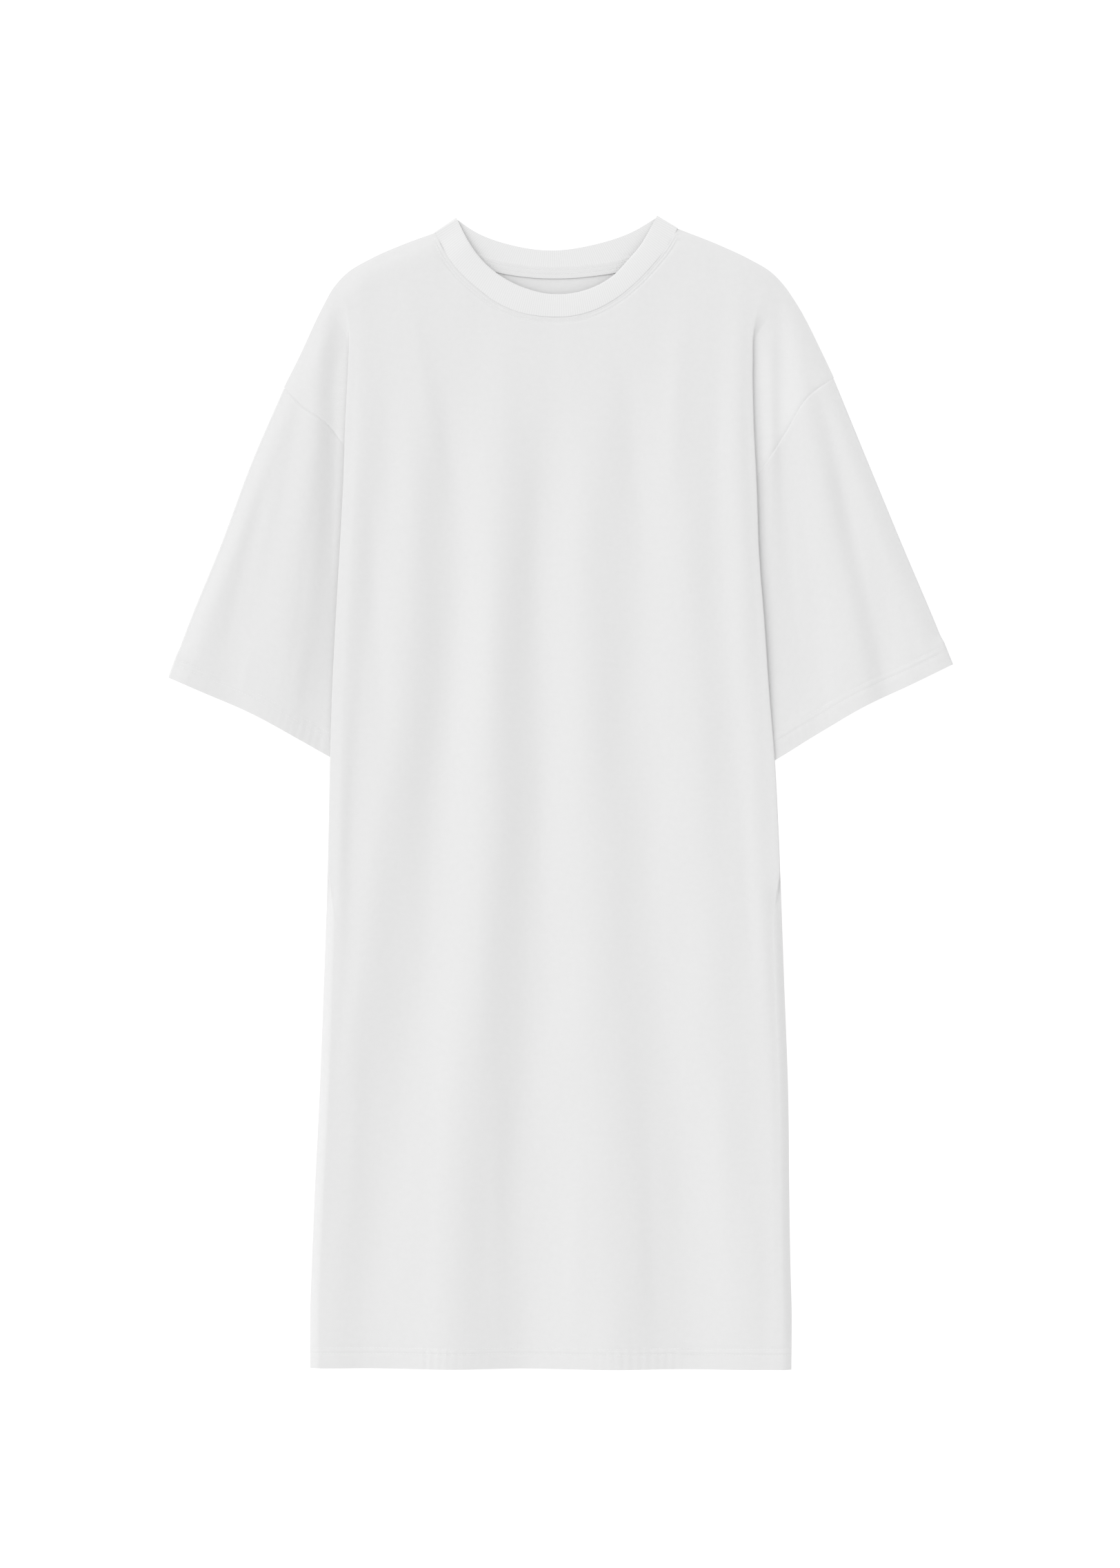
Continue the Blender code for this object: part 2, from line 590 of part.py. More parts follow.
def front_grid():
    """Outer face of the front panel, from its right seam to its left one."""
    shares = lengthwise_shares()
    n = FRONT_COLUMNS
    right, left = side_strip("right", shares), side_strip("left", shares)
    neck = np.asarray(NECK_SEAM_FRONT)
    neck_points = inward(path(neck, np.linspace(0, 1, NECK_STEPS_FRONT + 1)), False, 0.5 * SEAM_GAP)
    shoulders = {}
    for side in SIGN:
        line = path(SHOULDER[side], np.linspace(0, 1, 200))
        start = pleat_start(side, PLEAT_TOP)
        xs = np.linspace(start, neck_points[0 if side == "right" else -1, 0], n["shoulder"] + 1)[:-1]
        order = np.argsort(line[:, 0])
        shoulders[side] = np.stack([xs, np.interp(xs, line[order, 0], line[order, 1])], axis=1)
    top = np.concatenate([shoulders["right"], neck_points, shoulders["left"][::-1]])
    x_top, y_top = top[:, 0], top[:, 1]
    y = y_top + (hem_y(x_top) - y_top) * shares[:, None]
    scale = {side: pleat_start(side, np.minimum(y, PLEAT_TOP))
             / pleat_start(side, np.minimum(y_top, PLEAT_TOP)) for side in SIGN}
    x = x_top * np.where(x_top < 0, scale["right"], scale["left"])
    middle = np.stack([x, y, front_height(x, y)], axis=2)
    return np.concatenate([right, middle, left[:, ::-1]], axis=1), shares


def front_panel(look):
    grid, shares = front_grid()
    plies = np.where(np.arange(len(shares)) >= len(shares) - 2, 2.0, 1.0)[:, None]
    return cloth_object("front", grid, plies, WALL, look)


def back_panel(look):
    """The back lies flat, so its outer face is the plane z = 0. Its grid is spread between
    its four edges: shoulders and neck, hem, and the seam line down each side."""
    shares = lengthwise_shares()
    sides = [seam_line("left", shares), seam_line("right", shares)]
    neck = inward(path(NECK_SEAM_BACK, np.linspace(0, 1, NECK_STEPS_BACK + 1)), False, 0.5 * SEAM_GAP)
    run = np.linspace(1, 0, SHOULDER_STEPS_BACK + 1)[:-1]
    right, left = path(SHOULDER["right"], run), path(SHOULDER["left"], run)
    right[0], left[0] = sides[1][0], sides[0][0]
    top = np.concatenate([right, neck, left[::-1]])[::-1]
    step = np.concatenate([[0], np.cumsum(np.hypot(*np.diff(top, axis=0).T))])
    u = (step / step[-1])[None, :, None]
    v = shares[:, None, None]
    bottom = sides[0][-1] + (sides[1][-1] - sides[0][-1]) * u[0]
    corners = ((1 - u) * (1 - v) * top[0] + u * (1 - v) * top[-1]
               + (1 - u) * v * bottom[0] + u * v * bottom[-1])
    plan = ((1 - v) * top[None] + v * bottom[None]
            + (1 - u) * sides[0][:, None] + u * sides[1][:, None] - corners)
    grid = np.concatenate([plan, np.zeros(plan.shape[:2] + (1,))], axis=2)
    plies = np.where(np.arange(len(shares)) >= len(shares) - 2, 2.0, 1.0)[:, None]
    return cloth_object("back", grid, plies, WALL, look)


def sleeve(side, look):
    """One cloth folded into a flat tube: its upper layer over its lower one, joined round
    the outer edge and along the underarm, and open at the armhole and the cuff."""
    hem, step = (HEM_DEPTH + HEM_STEP) / SLEEVE_LENGTH, HEM_STEP / SLEEVE_LENGTH
    v = np.concatenate([np.linspace(0, 1 - hem, SLEEVE_ROWS), [1 - hem + step, 1]])
    u = arm_shares()
    u = u + SLEEVE_INSET * np.clip(1 - u / SLEEVE_INSET_REACH, 0, 1)
    start = inward(path(ARMHOLE[side], u), side == "left", 0.5 * SEAM_GAP)
    cuff = path(CUFF[side], u)
    outer = path(SLEEVE_OUTER[side], v)
    under = start[-1] + (cuff[-1] - start[-1]) * v[:, None]
    outer += (start[0] - outer[0]) * (1 - v[:, None]) + (cuff[0] - outer[-1]) * v[:, None]
    a, b = u[None, :, None], v[:, None, None]
    corners = ((1 - a) * (1 - b) * start[0] + a * (1 - b) * start[-1]
               + (1 - a) * b * cuff[0] + a * b * cuff[-1])
    plan = ((1 - b) * start[None] + b * cuff[None]
            + (1 - a) * outer[:, None] + a * under[:, None] - corners)
    outward = {}
    for edge, beside in ((0, 1), (-1, -2)):
        run = np.gradient(plan[:, edge], axis=0)
        normal = np.stack([-run[:, 1], run[:, 0]], axis=1)
        normal *= np.sign(np.sum(normal * (plan[:, edge] - plan[:, beside]), axis=1))[:, None]
        outward[edge] = normal / np.linalg.norm(normal, axis=1)[:, None]
    inset = 0.5 * arm_height(side, plan[:, -1, 0], plan[:, -1, 1]) + SEAM_GAP
    plan[:, -1] -= outward[-1] * inset[:, None]
    x, y = plan[..., 0], plan[..., 1]
    upper = np.stack([x, y, arm_height(side, x, y)], axis=2)
    lower = np.stack([x, y, np.zeros_like(x)], axis=2)
    rings = [upper]
    for edge in (-1, 0):
        radius = 0.5 * upper[:, edge, 2:]
        angles = np.linspace(0.5 * np.pi, -0.5 * np.pi, SLEEVE_TURN + 2)[1:-1]
        turn = [np.concatenate([upper[:, edge, :2] + outward[edge] * radius * np.cos(s),
                                radius * (1 + np.sin(s))], axis=1) for s in angles]
        turn = turn if edge == -1 else turn[::-1]
        rings.append(np.stack(turn, axis=1))
        if edge == -1:
            rings.append(lower[:, ::-1])
    grid = np.concatenate(rings, axis=1)
    if side == "left":
        grid = grid[:, ::-1]
    plies = np.where(np.arange(len(v)) >= len(v) - 2, 2.0, 1.0)[:, None]
    return cloth_object(side + "_sleeve", grid, plies, WALL, look, closed_columns=True)


def neckband(look):
    """A rib strip folded double and sewn round the neck: its front arc lies over its back
    arc, and it turns over at the two neck points."""
    t_front = np.linspace(0, 1, NECK_STEPS_FRONT + 1)
    t_back = np.linspace(1, 0, NECK_STEPS_BACK + 1)
    f = np.linspace(0, 1, BAND_ACROSS + 1)[None, :, None]
    arcs = []
    for seam, free, t, height in (
        (NECK_SEAM_FRONT, NECK_FREE_FRONT, t_front, None),
        (NECK_SEAM_BACK, NECK_FREE_BACK, t_back, 0.0),
    ):
        low = path(seam, t)
        low = inward(low, height is None, 0.5 * SEAM_GAP)
        high = path(free, t)
        plan = low[:, None] + (high - low)[:, None] * f
        x, y = plan[..., 0], plan[..., 1]
        if height is None:
            rise = edge_rise(x, y)
            ends = ease(np.minimum(t, 1 - t) / BAND_TIP_SHARE)[:, None]
            z = BAND_TIP_TOP + (front_height(x, y) - BAND_TIP_TOP) * np.minimum(rise, ends)
            z = np.maximum(z, BAND_TIP_TOP)
        else:
            z = np.full(x.shape, height)
        arcs.append(np.stack([x, y, z], axis=2))
    front, back = arcs
    turns = []
    for top in (front[-1], front[0]):
        run = top[-1, :2] - top[0, :2]
        outward = np.array([-run[1], run[0]]) / np.hypot(*run)
        outward *= np.sign(outward[1])
        radius = 0.5 * top[:, 2]
        angles = np.linspace(0.5 * np.pi, -0.5 * np.pi, BAND_TURN + 2)[1:-1]
        turn = [np.concatenate([top[:, :2] + outward * (radius * np.cos(s))[:, None],
                                (radius * (1 + np.sin(s)))[:, None]], axis=1) for s in angles]
        turns.append(np.stack(turn))
    grid = np.concatenate([front, turns[0], back, turns[1][::-1]])
    return cloth_object("neckband", grid, np.ones((1, 1)), BAND_WALL, look, closed_rows=True)


def neck_tape(look):
    """A narrow tape sewn over the back neck seam, inside, on the back panel."""
    t = np.linspace(TAPE_BARE, 1 - TAPE_BARE, TAPE_ALONG + 1)
    upper = inward(path(NECK_SEAM_BACK, t), False, 1.5 * SEAM_GAP)
    lower = inward(path(NECK_SEAM_BACK, t), False, 1.5 * SEAM_GAP + TAPE_WIDTH)
    plan = np.stack([lower, upper], axis=1)
    top = np.full(plan.shape[:2] + (1,), WALL + SEAM_GAP + TAPE_WALL)
    grid = np.concatenate([plan, top], axis=2)
    return cloth_object("neck_tape", grid, np.ones((1, 1)), TAPE_WALL, look)


for old in list(bpy.data.objects):
    bpy.data.objects.remove(old, do_unlink=True)

front_panel(material("front_white_jersey", *JERSEY))
back_panel(material("back_white_jersey", *JERSEY))
sleeve("right", material("right_sleeve_white_jersey", *JERSEY))
sleeve("left", material("left_sleeve_white_jersey", *JERSEY))
neckband(material("neckband_white_rib", *RIB))
neck_tape(material("neck_tape_white_twill", *TWILL))
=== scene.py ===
"""An oversized T-shirt dress in white cotton jersey, laid out on its back and seen from above.

Lengths in the tables are in millimetres, and cloth_mesh() and stitches() turn them to metres. X
runs across the dress with the wearer's left at +X, Y runs up to the neck, and Z is up. Each
piece is a numpy surface of rows and columns of points.
"""

import bpy
import numpy as np
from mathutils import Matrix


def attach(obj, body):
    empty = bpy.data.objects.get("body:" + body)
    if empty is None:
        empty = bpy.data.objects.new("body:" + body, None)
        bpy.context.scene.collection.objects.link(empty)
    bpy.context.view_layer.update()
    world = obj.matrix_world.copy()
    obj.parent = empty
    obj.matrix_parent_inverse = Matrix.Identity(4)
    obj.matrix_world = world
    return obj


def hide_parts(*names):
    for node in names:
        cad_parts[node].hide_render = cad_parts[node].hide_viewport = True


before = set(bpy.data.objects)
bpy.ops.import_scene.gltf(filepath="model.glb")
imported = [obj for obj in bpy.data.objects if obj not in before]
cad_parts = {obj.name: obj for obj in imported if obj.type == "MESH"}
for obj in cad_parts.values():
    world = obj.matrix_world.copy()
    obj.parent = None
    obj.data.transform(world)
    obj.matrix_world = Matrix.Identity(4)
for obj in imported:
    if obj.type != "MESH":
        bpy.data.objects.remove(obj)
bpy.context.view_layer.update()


# Camera
# Straight above the dress, with the photograph's frame: 1624 x 2273 pixels of 0.673 mm.
PIXEL = 0.000673
FRAME_HEIGHT = 2273 * PIXEL
FRAME_MIDDLE = (-0.0007, 0.0094)
CAMERA_HEIGHT = 4.0
SENSOR = 24.0


def placed(name, data):
    """Adds an object with this data to the scene."""
    made = bpy.data.objects.new(name, data)
    bpy.context.scene.collection.objects.link(made)
    return made


camera_data = bpy.data.cameras.new("camera")
camera_data.sensor_fit = "VERTICAL"
camera_data.sensor_height = SENSOR
camera_data.lens = SENSOR * CAMERA_HEIGHT / FRAME_HEIGHT
camera = placed("camera", camera_data)
camera.location = (*FRAME_MIDDLE, CAMERA_HEIGHT)
bpy.context.scene.camera = camera


# Light
# A white room with one broad lamp, high on the left and a little towards the neck. It leaves
# the folds bright on their left and only a little darker on their right.
ROOM_STRENGTH = 0.80
LAMP_STRENGTH = 0.99
LAMP_SPREAD = 60.0  # degrees
LAMP_FROM = (-0.62, 0.38, 0.80)

world = bpy.data.worlds.new("room")
world.use_nodes = True
world.node_tree.nodes["Background"].inputs["Color"].default_value = (1, 1, 1, 1)
world.node_tree.nodes["Background"].inputs["Strength"].default_value = ROOM_STRENGTH
bpy.context.scene.world = world
bpy.context.scene.view_settings.view_transform = "Standard"

lamp_data = bpy.data.lights.new("lamp", "SUN")
lamp_data.energy = LAMP_STRENGTH
lamp_data.angle = np.radians(LAMP_SPREAD)
lamp = placed("lamp", lamp_data)
azimuth = np.arctan2(LAMP_FROM[1], LAMP_FROM[0])
tilt = np.arctan2(np.hypot(LAMP_FROM[0], LAMP_FROM[1]), LAMP_FROM[2])
lamp.rotation_euler = (0, tilt, azimuth)


# Floor
# A sheet of frosted white acrylic lit from below, which the dress lies on. It takes no shadow.
FLOOR_HALF = 6.0
FLOOR_DROP = 0.0002  # the sheet's face lies this far under the cloth, so that the two don't coincide
FLOOR_GREY, FLOOR_WHITE, FLOOR_GLOW = "#7A7A7A", "#FFFFFF", 0.88


def linear(hex_colour):
    """The linear colour of an sRGB hex value."""
    part = np.array([int(hex_colour[i:i + 2], 16) for i in (1, 3, 5)]) / 255
    found = np.where(part <= 0.04045, part / 12.92, ((part + 0.055) / 1.055) ** 2.4)
    return (*found.tolist(), 1.0)


def node(tree, kind, inputs=(), **settings):
    """Adds a node with its settings. An input is a value to set or a socket to link."""
    made = tree.nodes.new(kind)
    for name, value in settings.items():
        setattr(made, name, value)
    for key, value in dict(inputs).items():
        if isinstance(value, bpy.types.NodeSocket):
            tree.links.new(value, made.inputs[key])
        else:
            made.inputs[key].default_value = value
    return made


def plain_material(name, colour, roughness):
    """A material with one colour, and its shader and node tree, ready for more nodes."""
    look = bpy.data.materials.new(name)
    look.use_nodes = True
    shader = look.node_tree.nodes["Principled BSDF"]
    shader.inputs["Base Color"].default_value = linear(colour)
    shader.inputs["Roughness"].default_value = roughness
    shader.inputs["Metallic"].default_value = 0
    return look, look.node_tree, shader


floor_mesh = bpy.data.meshes.new("floor")
corners = [(x * FLOOR_HALF, y * FLOOR_HALF, -FLOOR_DROP)
           for x, y in ((-1, -1), (1, -1), (1, 1), (-1, 1))]
floor_mesh.from_pydata(corners, [], [(0, 1, 2, 3)])
floor_look, _, floor_shader = plain_material("white_acrylic_sheet", FLOOR_GREY, 0.9)
floor_shader.inputs["Emission Color"].default_value = linear(FLOOR_WHITE)
floor_shader.inputs["Emission Strength"].default_value = FLOOR_GLOW
floor_mesh.materials.append(floor_look)
floor = placed("floor", floor_mesh)


# White cotton jersey, knitted in fine plain stitches
# The knit shows as rows of small Vs. A light, matt cloth, with a faint unevenness of the yarn.
JERSEY_WHITE, JERSEY_SHADE = "#EAEAEA", "#E6E6E6"
WALE, COURSE = 0.00095, 0.00075  # across and along one stitch
LEG_BEND, LOOP_SWING = 1.3, 0.35  # slant of a stitch's legs, and rise and fall along them
STITCH_RELIEF, PATCH_RELIEF = 0.00010, 0.00025
YARN_PATCH = 0.006  # size of the faint uneven patches
# Cotton's index of refraction, and the faint sheen of its loose fibres
COTTON_LOOK = {"IOR": 1.45, "Sheen Weight": 0.10, "Sheen Roughness": 0.5}


def jersey_material():
    """Plain knit in the cloth's own UV, in metres. In each stitch a V-shaped groove lies
    between two legs: height = sine across the wale x cosine along a course bent into a V."""
    look, tree, shader = plain_material("white_cotton_jersey", JERSEY_WHITE, 0.92)
    for name, value in COTTON_LOOK.items():
        shader.inputs[name].default_value = value
    cloth = node(tree, "ShaderNodeUVMap", uv_map="cloth").outputs[0]
    apart = node(tree, "ShaderNodeSeparateXYZ", {0: cloth})
    across = node(tree, "ShaderNodeMath", {0: apart.outputs[0], 1: WALE}, operation="DIVIDE")
    along = node(tree, "ShaderNodeMath", {0: apart.outputs[1], 1: COURSE}, operation="DIVIDE")
    place = node(tree, "ShaderNodeMath", {0: across.outputs[0]}, operation="FRACT")
    middle = node(tree, "ShaderNodeMath", {0: place.outputs[0], 1: 0.5}, operation="SUBTRACT")
    aside = node(tree, "ShaderNodeMath", {0: middle.outputs[0]}, operation="ABSOLUTE")
    turn = node(tree, "ShaderNodeMath", {0: aside.outputs[0], 1: 2 * np.pi}, operation="MULTIPLY")
    leg = node(tree, "ShaderNodeMath", {0: turn.outputs[0]}, operation="SINE")
    bent = node(tree, "ShaderNodeMath", {0: aside.outputs[0], 1: LEG_BEND,
                                         2: along.outputs[0]}, operation="MULTIPLY_ADD")
    phase = node(tree, "ShaderNodeMath", {0: bent.outputs[0], 1: 2 * np.pi}, operation="MULTIPLY")
    loop = node(tree, "ShaderNodeMath", {0: phase.outputs[0]}, operation="COSINE")
    raised = node(tree, "ShaderNodeMath", {0: loop.outputs[0], 1: LOOP_SWING,
                                           2: 1 - LOOP_SWING}, operation="MULTIPLY_ADD")
    knit = node(tree, "ShaderNodeMath", {0: leg.outputs[0], 1: raised.outputs[0]},
                operation="MULTIPLY")
    patches = node(tree, "ShaderNodeTexNoise",
                   {"Vector": cloth, "Scale": 1 / YARN_PATCH, "Detail": 3.0, "Roughness": 0.6})
    tone = node(tree, "ShaderNodeMix", {0: patches.outputs[0], 6: linear(JERSEY_WHITE),
                                        7: linear(JERSEY_SHADE)}, data_type="RGBA")
    tree.links.new(tone.outputs[2], shader.inputs["Base Color"])
    uneven = node(tree, "ShaderNodeBump", {"Height": patches.outputs[0], "Strength": 0.6,
                                           "Distance": PATCH_RELIEF})
    relief = node(tree, "ShaderNodeBump", {"Height": knit.outputs[0], "Strength": 0.8,
                                           "Distance": STITCH_RELIEF, "Normal": uneven.outputs[0]})
    tree.links.new(relief.outputs[0], shader.inputs["Normal"])
    return look


jersey = jersey_material()


# Sewing
# White cotton thread. Each row is a line of slim stitches with short gaps: two rows round the
# hem and each cuff, two beside the neckband's seam on front and back, and two along the tape.
MM = 0.001  # a millimetre, in metres
STITCH_LENGTH, STITCH_PITCH = 2.5, 3.0
THREAD = 0.42  # thickness of the thread
THREAD_WHITE = "#F1F1F1"
STITCH_ARCH = 0.10  # how much a stitch's middle stands over its ends
STITCH_ROUND, STITCH_STATIONS = 6, 5  # points round a stitch, and rings along it
TWIST_SCALE = 900.0  # waves 0.7 mm long along each axis


def thread_material():
    """Twisted cotton thread: a light satin, with its twist as slanting waves."""
    look, tree, shader = plain_material("white_cotton_thread", THREAD_WHITE, 0.7)
    place = node(tree, "ShaderNodeTexCoord").outputs["Object"]
    twist = node(tree, "ShaderNodeTexWave", {"Vector": place, "Scale": TWIST_SCALE},
                 bands_direction="DIAGONAL")
    bump = node(tree, "ShaderNodeBump", {"Height": twist.outputs[1], "Strength": 0.4,
                                         "Distance": 0.00005})
    tree.links.new(bump.outputs[0], shader.inputs["Normal"])
    return look


thread = thread_material()


def stitches(name, lines, up):
    """Stitches along lines of points, as one mesh. Each is a ring of points carried along its
    own short straight axis, thinner at both ends: radius = (1.02 - t^4) under a square root."""
    starts, ends = [], []
    for line in lines:
        along = np.concatenate([[0], np.cumsum(np.linalg.norm(np.diff(line, axis=0), axis=1))])
        first = np.arange(0.5 * STITCH_PITCH, along[-1] - STITCH_LENGTH, STITCH_PITCH)
        for at, found in ((first, starts), (first + STITCH_LENGTH, ends)):
            found.append(np.stack([np.interp(at, along, line[:, k]) for k in range(3)], axis=1))
    start, end = np.concatenate(starts)[:, None, None], np.concatenate(ends)[:, None, None]
    t = np.linspace(-1, 1, STITCH_STATIONS)[None, :, None, None]
    turn = np.linspace(0, 2 * np.pi, STITCH_ROUND, endpoint=False)[None, None, :, None]
    axis = (end - start) / np.linalg.norm(end - start, axis=-1, keepdims=True)
    lift = np.array([0.0, 0.0, up])
    side = np.cross(axis, lift)
    side /= np.linalg.norm(side, axis=-1, keepdims=True)
    radius = 0.5 * THREAD * np.sqrt(1.02 - t**4)
    middle = 0.5 * (start + end) + 0.5 * (end - start) * t + lift * STITCH_ARCH * (1 - t**2)
    points = middle + radius * (np.cos(turn) * side + np.sin(turn) * lift)
    base = np.arange(len(points))[:, None, None] * STITCH_STATIONS * STITCH_ROUND
    i, j = np.meshgrid(np.arange(STITCH_STATIONS - 1), np.arange(STITCH_ROUND), indexing="ij")
    beside = (j + 1) % STITCH_ROUND
    quads = np.stack([i * STITCH_ROUND + j, (i + 1) * STITCH_ROUND + j,
                      (i + 1) * STITCH_ROUND + beside, i * STITCH_ROUND + beside], axis=-1)
    quads = (quads.reshape(1, -1, 4) + base).reshape(-1, 4)
    mesh = bpy.data.meshes.new(name)
    mesh.from_pydata((points.reshape(-1, 3) * MM).tolist(), [], quads.tolist())
    mesh.materials.append(thread)
    mesh.shade_smooth()
    piece = placed(name, mesh)
    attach(piece, "root")
    return piece


# Front panel
# One piece of jersey from the neck and shoulders to the hem, which is turned up inside and
# sewn with two rows. Laid out, it hangs in soft upright folds from the chest, and at each side
# it is laid in a pleat that opens at the dropped shoulder, so that the sleeve goes under it.
WALL = 0.9  # the jersey's thickness
HEM_DEPTH = 20.0  # hem turned up inside
HEM_EASE, CUFF_EASE = 12.0, 10.0  # length over which an edge rises to its double hem
SEAM_TOP = 3.0  # outer face of the upper layer where it meets the lower one
EDGE_ROUND = 20.0  # width over which a laid edge rises
PLEAT_LAYERS = 3.0  # the pleat's under layer to the front over it, face to face
LAID_STRIP = 6.0  # width of front flat on the back beside the side seam
SIDE_ROLL = 10.0  # width of the rolled side edge below the pleat
PLEAT_TOP, UNDERARM_LEVEL = 504.0, 262.0
RUN_OUT_TOP, RUN_OUT_END = -58.0, -92.0
LEAST_STRIP = 1.5  # least width of the under layer where the pleat opens
PLEAT_SOFTNESS = 0.05  # how fast the pleat's turns widen as it opens
PLEAT_SLACK, PLEAT_SLACK_RUN = 0.08, 2.0  # how much tighter they are where it begins to open
STEEP, SHALLOW = 0.45 * np.pi, 0.25 * np.pi  # between these slopes its points spread evenly
BULGE_SHARE = 0.35  # share of the armhole's depth that follows the shoulder's curve
LINE_STEPS = 200  # points along a shoulder's line
SEAM_CROWDING = 1.7  # how much closer together the under layer's columns lie at its seam
HEM_LEFT_X, HEM_RIGHT_X = 224.8, -244.3
HEM_LEFT_Y, HEM_RIGHT_Y = -561.2, -559.4
SIGN = {"right": -1.0, "left": 1.0}
SIDE_COLUMN = {"right": 1, "left": 2}  # in the tables of the body edge and side seam
TUCK_START = 4.0  # how far inside the body's edge the arm's folds begin

# Depth of the pleat beside the arm: level, depth. Below nought its two fold lines lie apart
PLEAT_DEPTH = (
    (262, 43.6), (320, 31.5), (380, 19.0), (415, 9.0), (440, 1.5), (470, -5.5), (504, -12.0),
)
# Height of the pleat's under layer, outer face down: level, height
PLEAT_HEIGHT = ((-110, 5.8), (-30, 5.8), (240, 5.8), (344, 5.0), (400, 4.5), (504, 4.2))
# Body edge as laid: level, right edge, left edge
BODY_EDGE = (
    (-562, -244.3, 224.8), (-504, -244.3, 225.2), (-464, -242.9, 224.1),
    (-383, -239.6, 222.8), (-302, -235.6, 222.0), (-181, -230.8, 217.8),
    (-60, -226.8, 213.3), (36, -224.8, 208.5), (101, -222.8, 203.2),
    (169, -219.4, 198.5), (236, -215.6, 193.4), (300, -212.2, 191.2),
    (365, -210.0, 188.2), (420, -207.3, 187.4), (459, -206.6, 189.3),
    (486, -210.8, 197.0), (504, -213.5, 203.5),
)
# Side seam under the front: level, right side, left side. Below it is at the body edge
SIDE_SEAM = (
    (-62, -227.0, 213.4), (-36, -213.0, 199.5), (-12, -194.0, 180.5),
    (12, -181.0, 166.5), (60, -176.5, 158.0), (150, -175.0, 153.5),
    (262, -176.0, 155.0),
)
# Outline of each shoulder from the neck seam to the armhole: x, y
SHOULDER = {
    "right": (
        (-122.5, 546.8), (-154.0, 535.2), (-185.7, 521.2), (-208.0, 507.8),
        (-220.7, 494.3), (-232.2, 474.1), (-255.7, 424.3), (-269.9, 396.1),
    ),
    "left": (
        (113.7, 550.9), (154.8, 534.7), (183.7, 521.2), (205.9, 507.8),
        (218.7, 494.3), (232.2, 474.1), (253.2, 433.4), (266.4, 405.5),
    ),
}
ARMHOLE = {
    "right": (
        (-269.9, 396.1), (-250.0, 376.0), (-228.8, 361.5), (-210.6, 338.2),
        (-186.0, 300.0), (-178.0, 262.0),
    ),
    "left": (
        (266.4, 405.5), (242.3, 388.0), (216.0, 347.1), (191.8, 311.3),
        (166.0, 284.0), (157.0, 262.0),
    ),
}
SLEEVE_OUTER = {
    "right": (
        (-269.9, 396.1), (-301.5, 323.4), (-331.8, 242.6), (-364.8, 161.9),
        (-382.6, 113.2),
    ),
    "left": (
        (266.4, 405.5), (300.2, 323.4), (333.8, 242.6), (368.1, 161.9),
        (382.6, 126.2),
    ),
}
CUFF = {
    "right": (
        (-382.6, 113.2), (-350.6, 99.3), (-302.2, 78.4), (-253.7, 52.2),
        (-224.8, 36.0), (-190.5, 19.0),
    ),
    "left": (
        (382.6, 126.2), (343.9, 107.3), (295.4, 84.5), (247.0, 56.2),
        (209.3, 33.3), (176.5, 16.5),
    ),
}
NECK_SEAM_FRONT = (
    (-122.5, 546.8), (-111.7, 525.3), (-98.3, 507.8), (-80.1, 491.3), (-62.3, 478.2),
    (-42.4, 469.4), (-17.2, 464.8), (9.9, 465.0), (33.3, 471.2), (55.0, 483.1),
    (73.0, 497.7), (90.9, 516.5), (103.6, 532.7), (113.7, 550.9),
)
# Folds of the front, from the right edge to the left one: ridges and the troughs between.
# Each row gives the fold's place across, then its height, at the levels below
FOLD_LEVELS = (-562, -437, -302, -168, -33, 101, 236, 344, 400, 460)
FRONT_FOLDS = {
    "right_roll": (
        (-234, -231, -227, -217, -214, -211, -203, -197, -196, -194),
        (8.8, 9.2, 10.0, 10.6, 11.3, 11.4, 11.2, 10.2, 9.0, 8.2),
    ),
    "right_side_trough": (
        (-229, -226, -222, -209, -204, -192, -178, -170, -170, -170),
        (8.7, 9.1, 9.9, 10.2, 9.6, 8.9, 8.5, 7.8, 7.7, 7.9),
    ),
    "right_side_ridge": (
        (-224, -220, -216, -194, -176, -155, -145, -142, -142, -142),
        (8.8, 9.2, 10.0, 11.4, 12.2, 12.5, 12.0, 10.2, 8.8, 8.0),
    ),
    "right_trough": (
        (-186, -180, -160, -138, -124, -110, -104, -104, -104, -104),
        (6.8, 6.2, 5.4, 4.8, 4.6, 4.8, 5.4, 6.6, 7.4, 7.9),
    ),
    "main_ridge": (
        (-107, -106, -91, -79, -71, -67, -63, -57, -56, -56),
        (13.6, 14.0, 14.6, 14.8, 14.8, 14.4, 13.4, 11.0, 9.0, 8.0),
    ),
    "middle_trough": (
        (-35, -34, -31, -25, -19.5, -19.5, -20.5, -17, -17, -17),
        (5.2, 4.6, 4.2, 4.0, 4.0, 4.2, 4.8, 6.4, 7.4, 7.9),
    ),
    "middle_ridge": (
        (51, 46, 42, 35, 31, 24, 25, 28, 28, 28),
        (12.6, 12.6, 12.2, 11.6, 11.2, 11.4, 11.2, 9.8, 8.7, 8.0),
    ),
    "left_trough": (
        (124, 122, 106, 95, 85, 72, 75, 75, 75, 75),
        (5.4, 4.8, 4.6, 4.8, 5.0, 5.4, 6.0, 6.8, 7.5, 7.9),
    ),
    "left_side_ridge": (
        (188, 181, 160, 149, 139, 131, 121, 115, 115, 115),
        (9.2, 9.8, 10.4, 11.0, 11.6, 12.0, 11.4, 9.8, 8.7, 8.0),
    ),
    "left_side_trough": (
        (202, 197, 190, 184, 173, 163, 154, 150, 150, 150),
        (8.7, 9.0, 9.4, 9.6, 9.4, 9.0, 8.5, 7.8, 7.7, 7.9),
    ),
    "left_roll": (
        (213, 210, 206, 197, 189, 182, 176, 172, 171, 171),
        (8.8, 9.1, 9.8, 10.4, 10.9, 11.0, 10.9, 10.2, 9.0, 8.2),
    ),
}
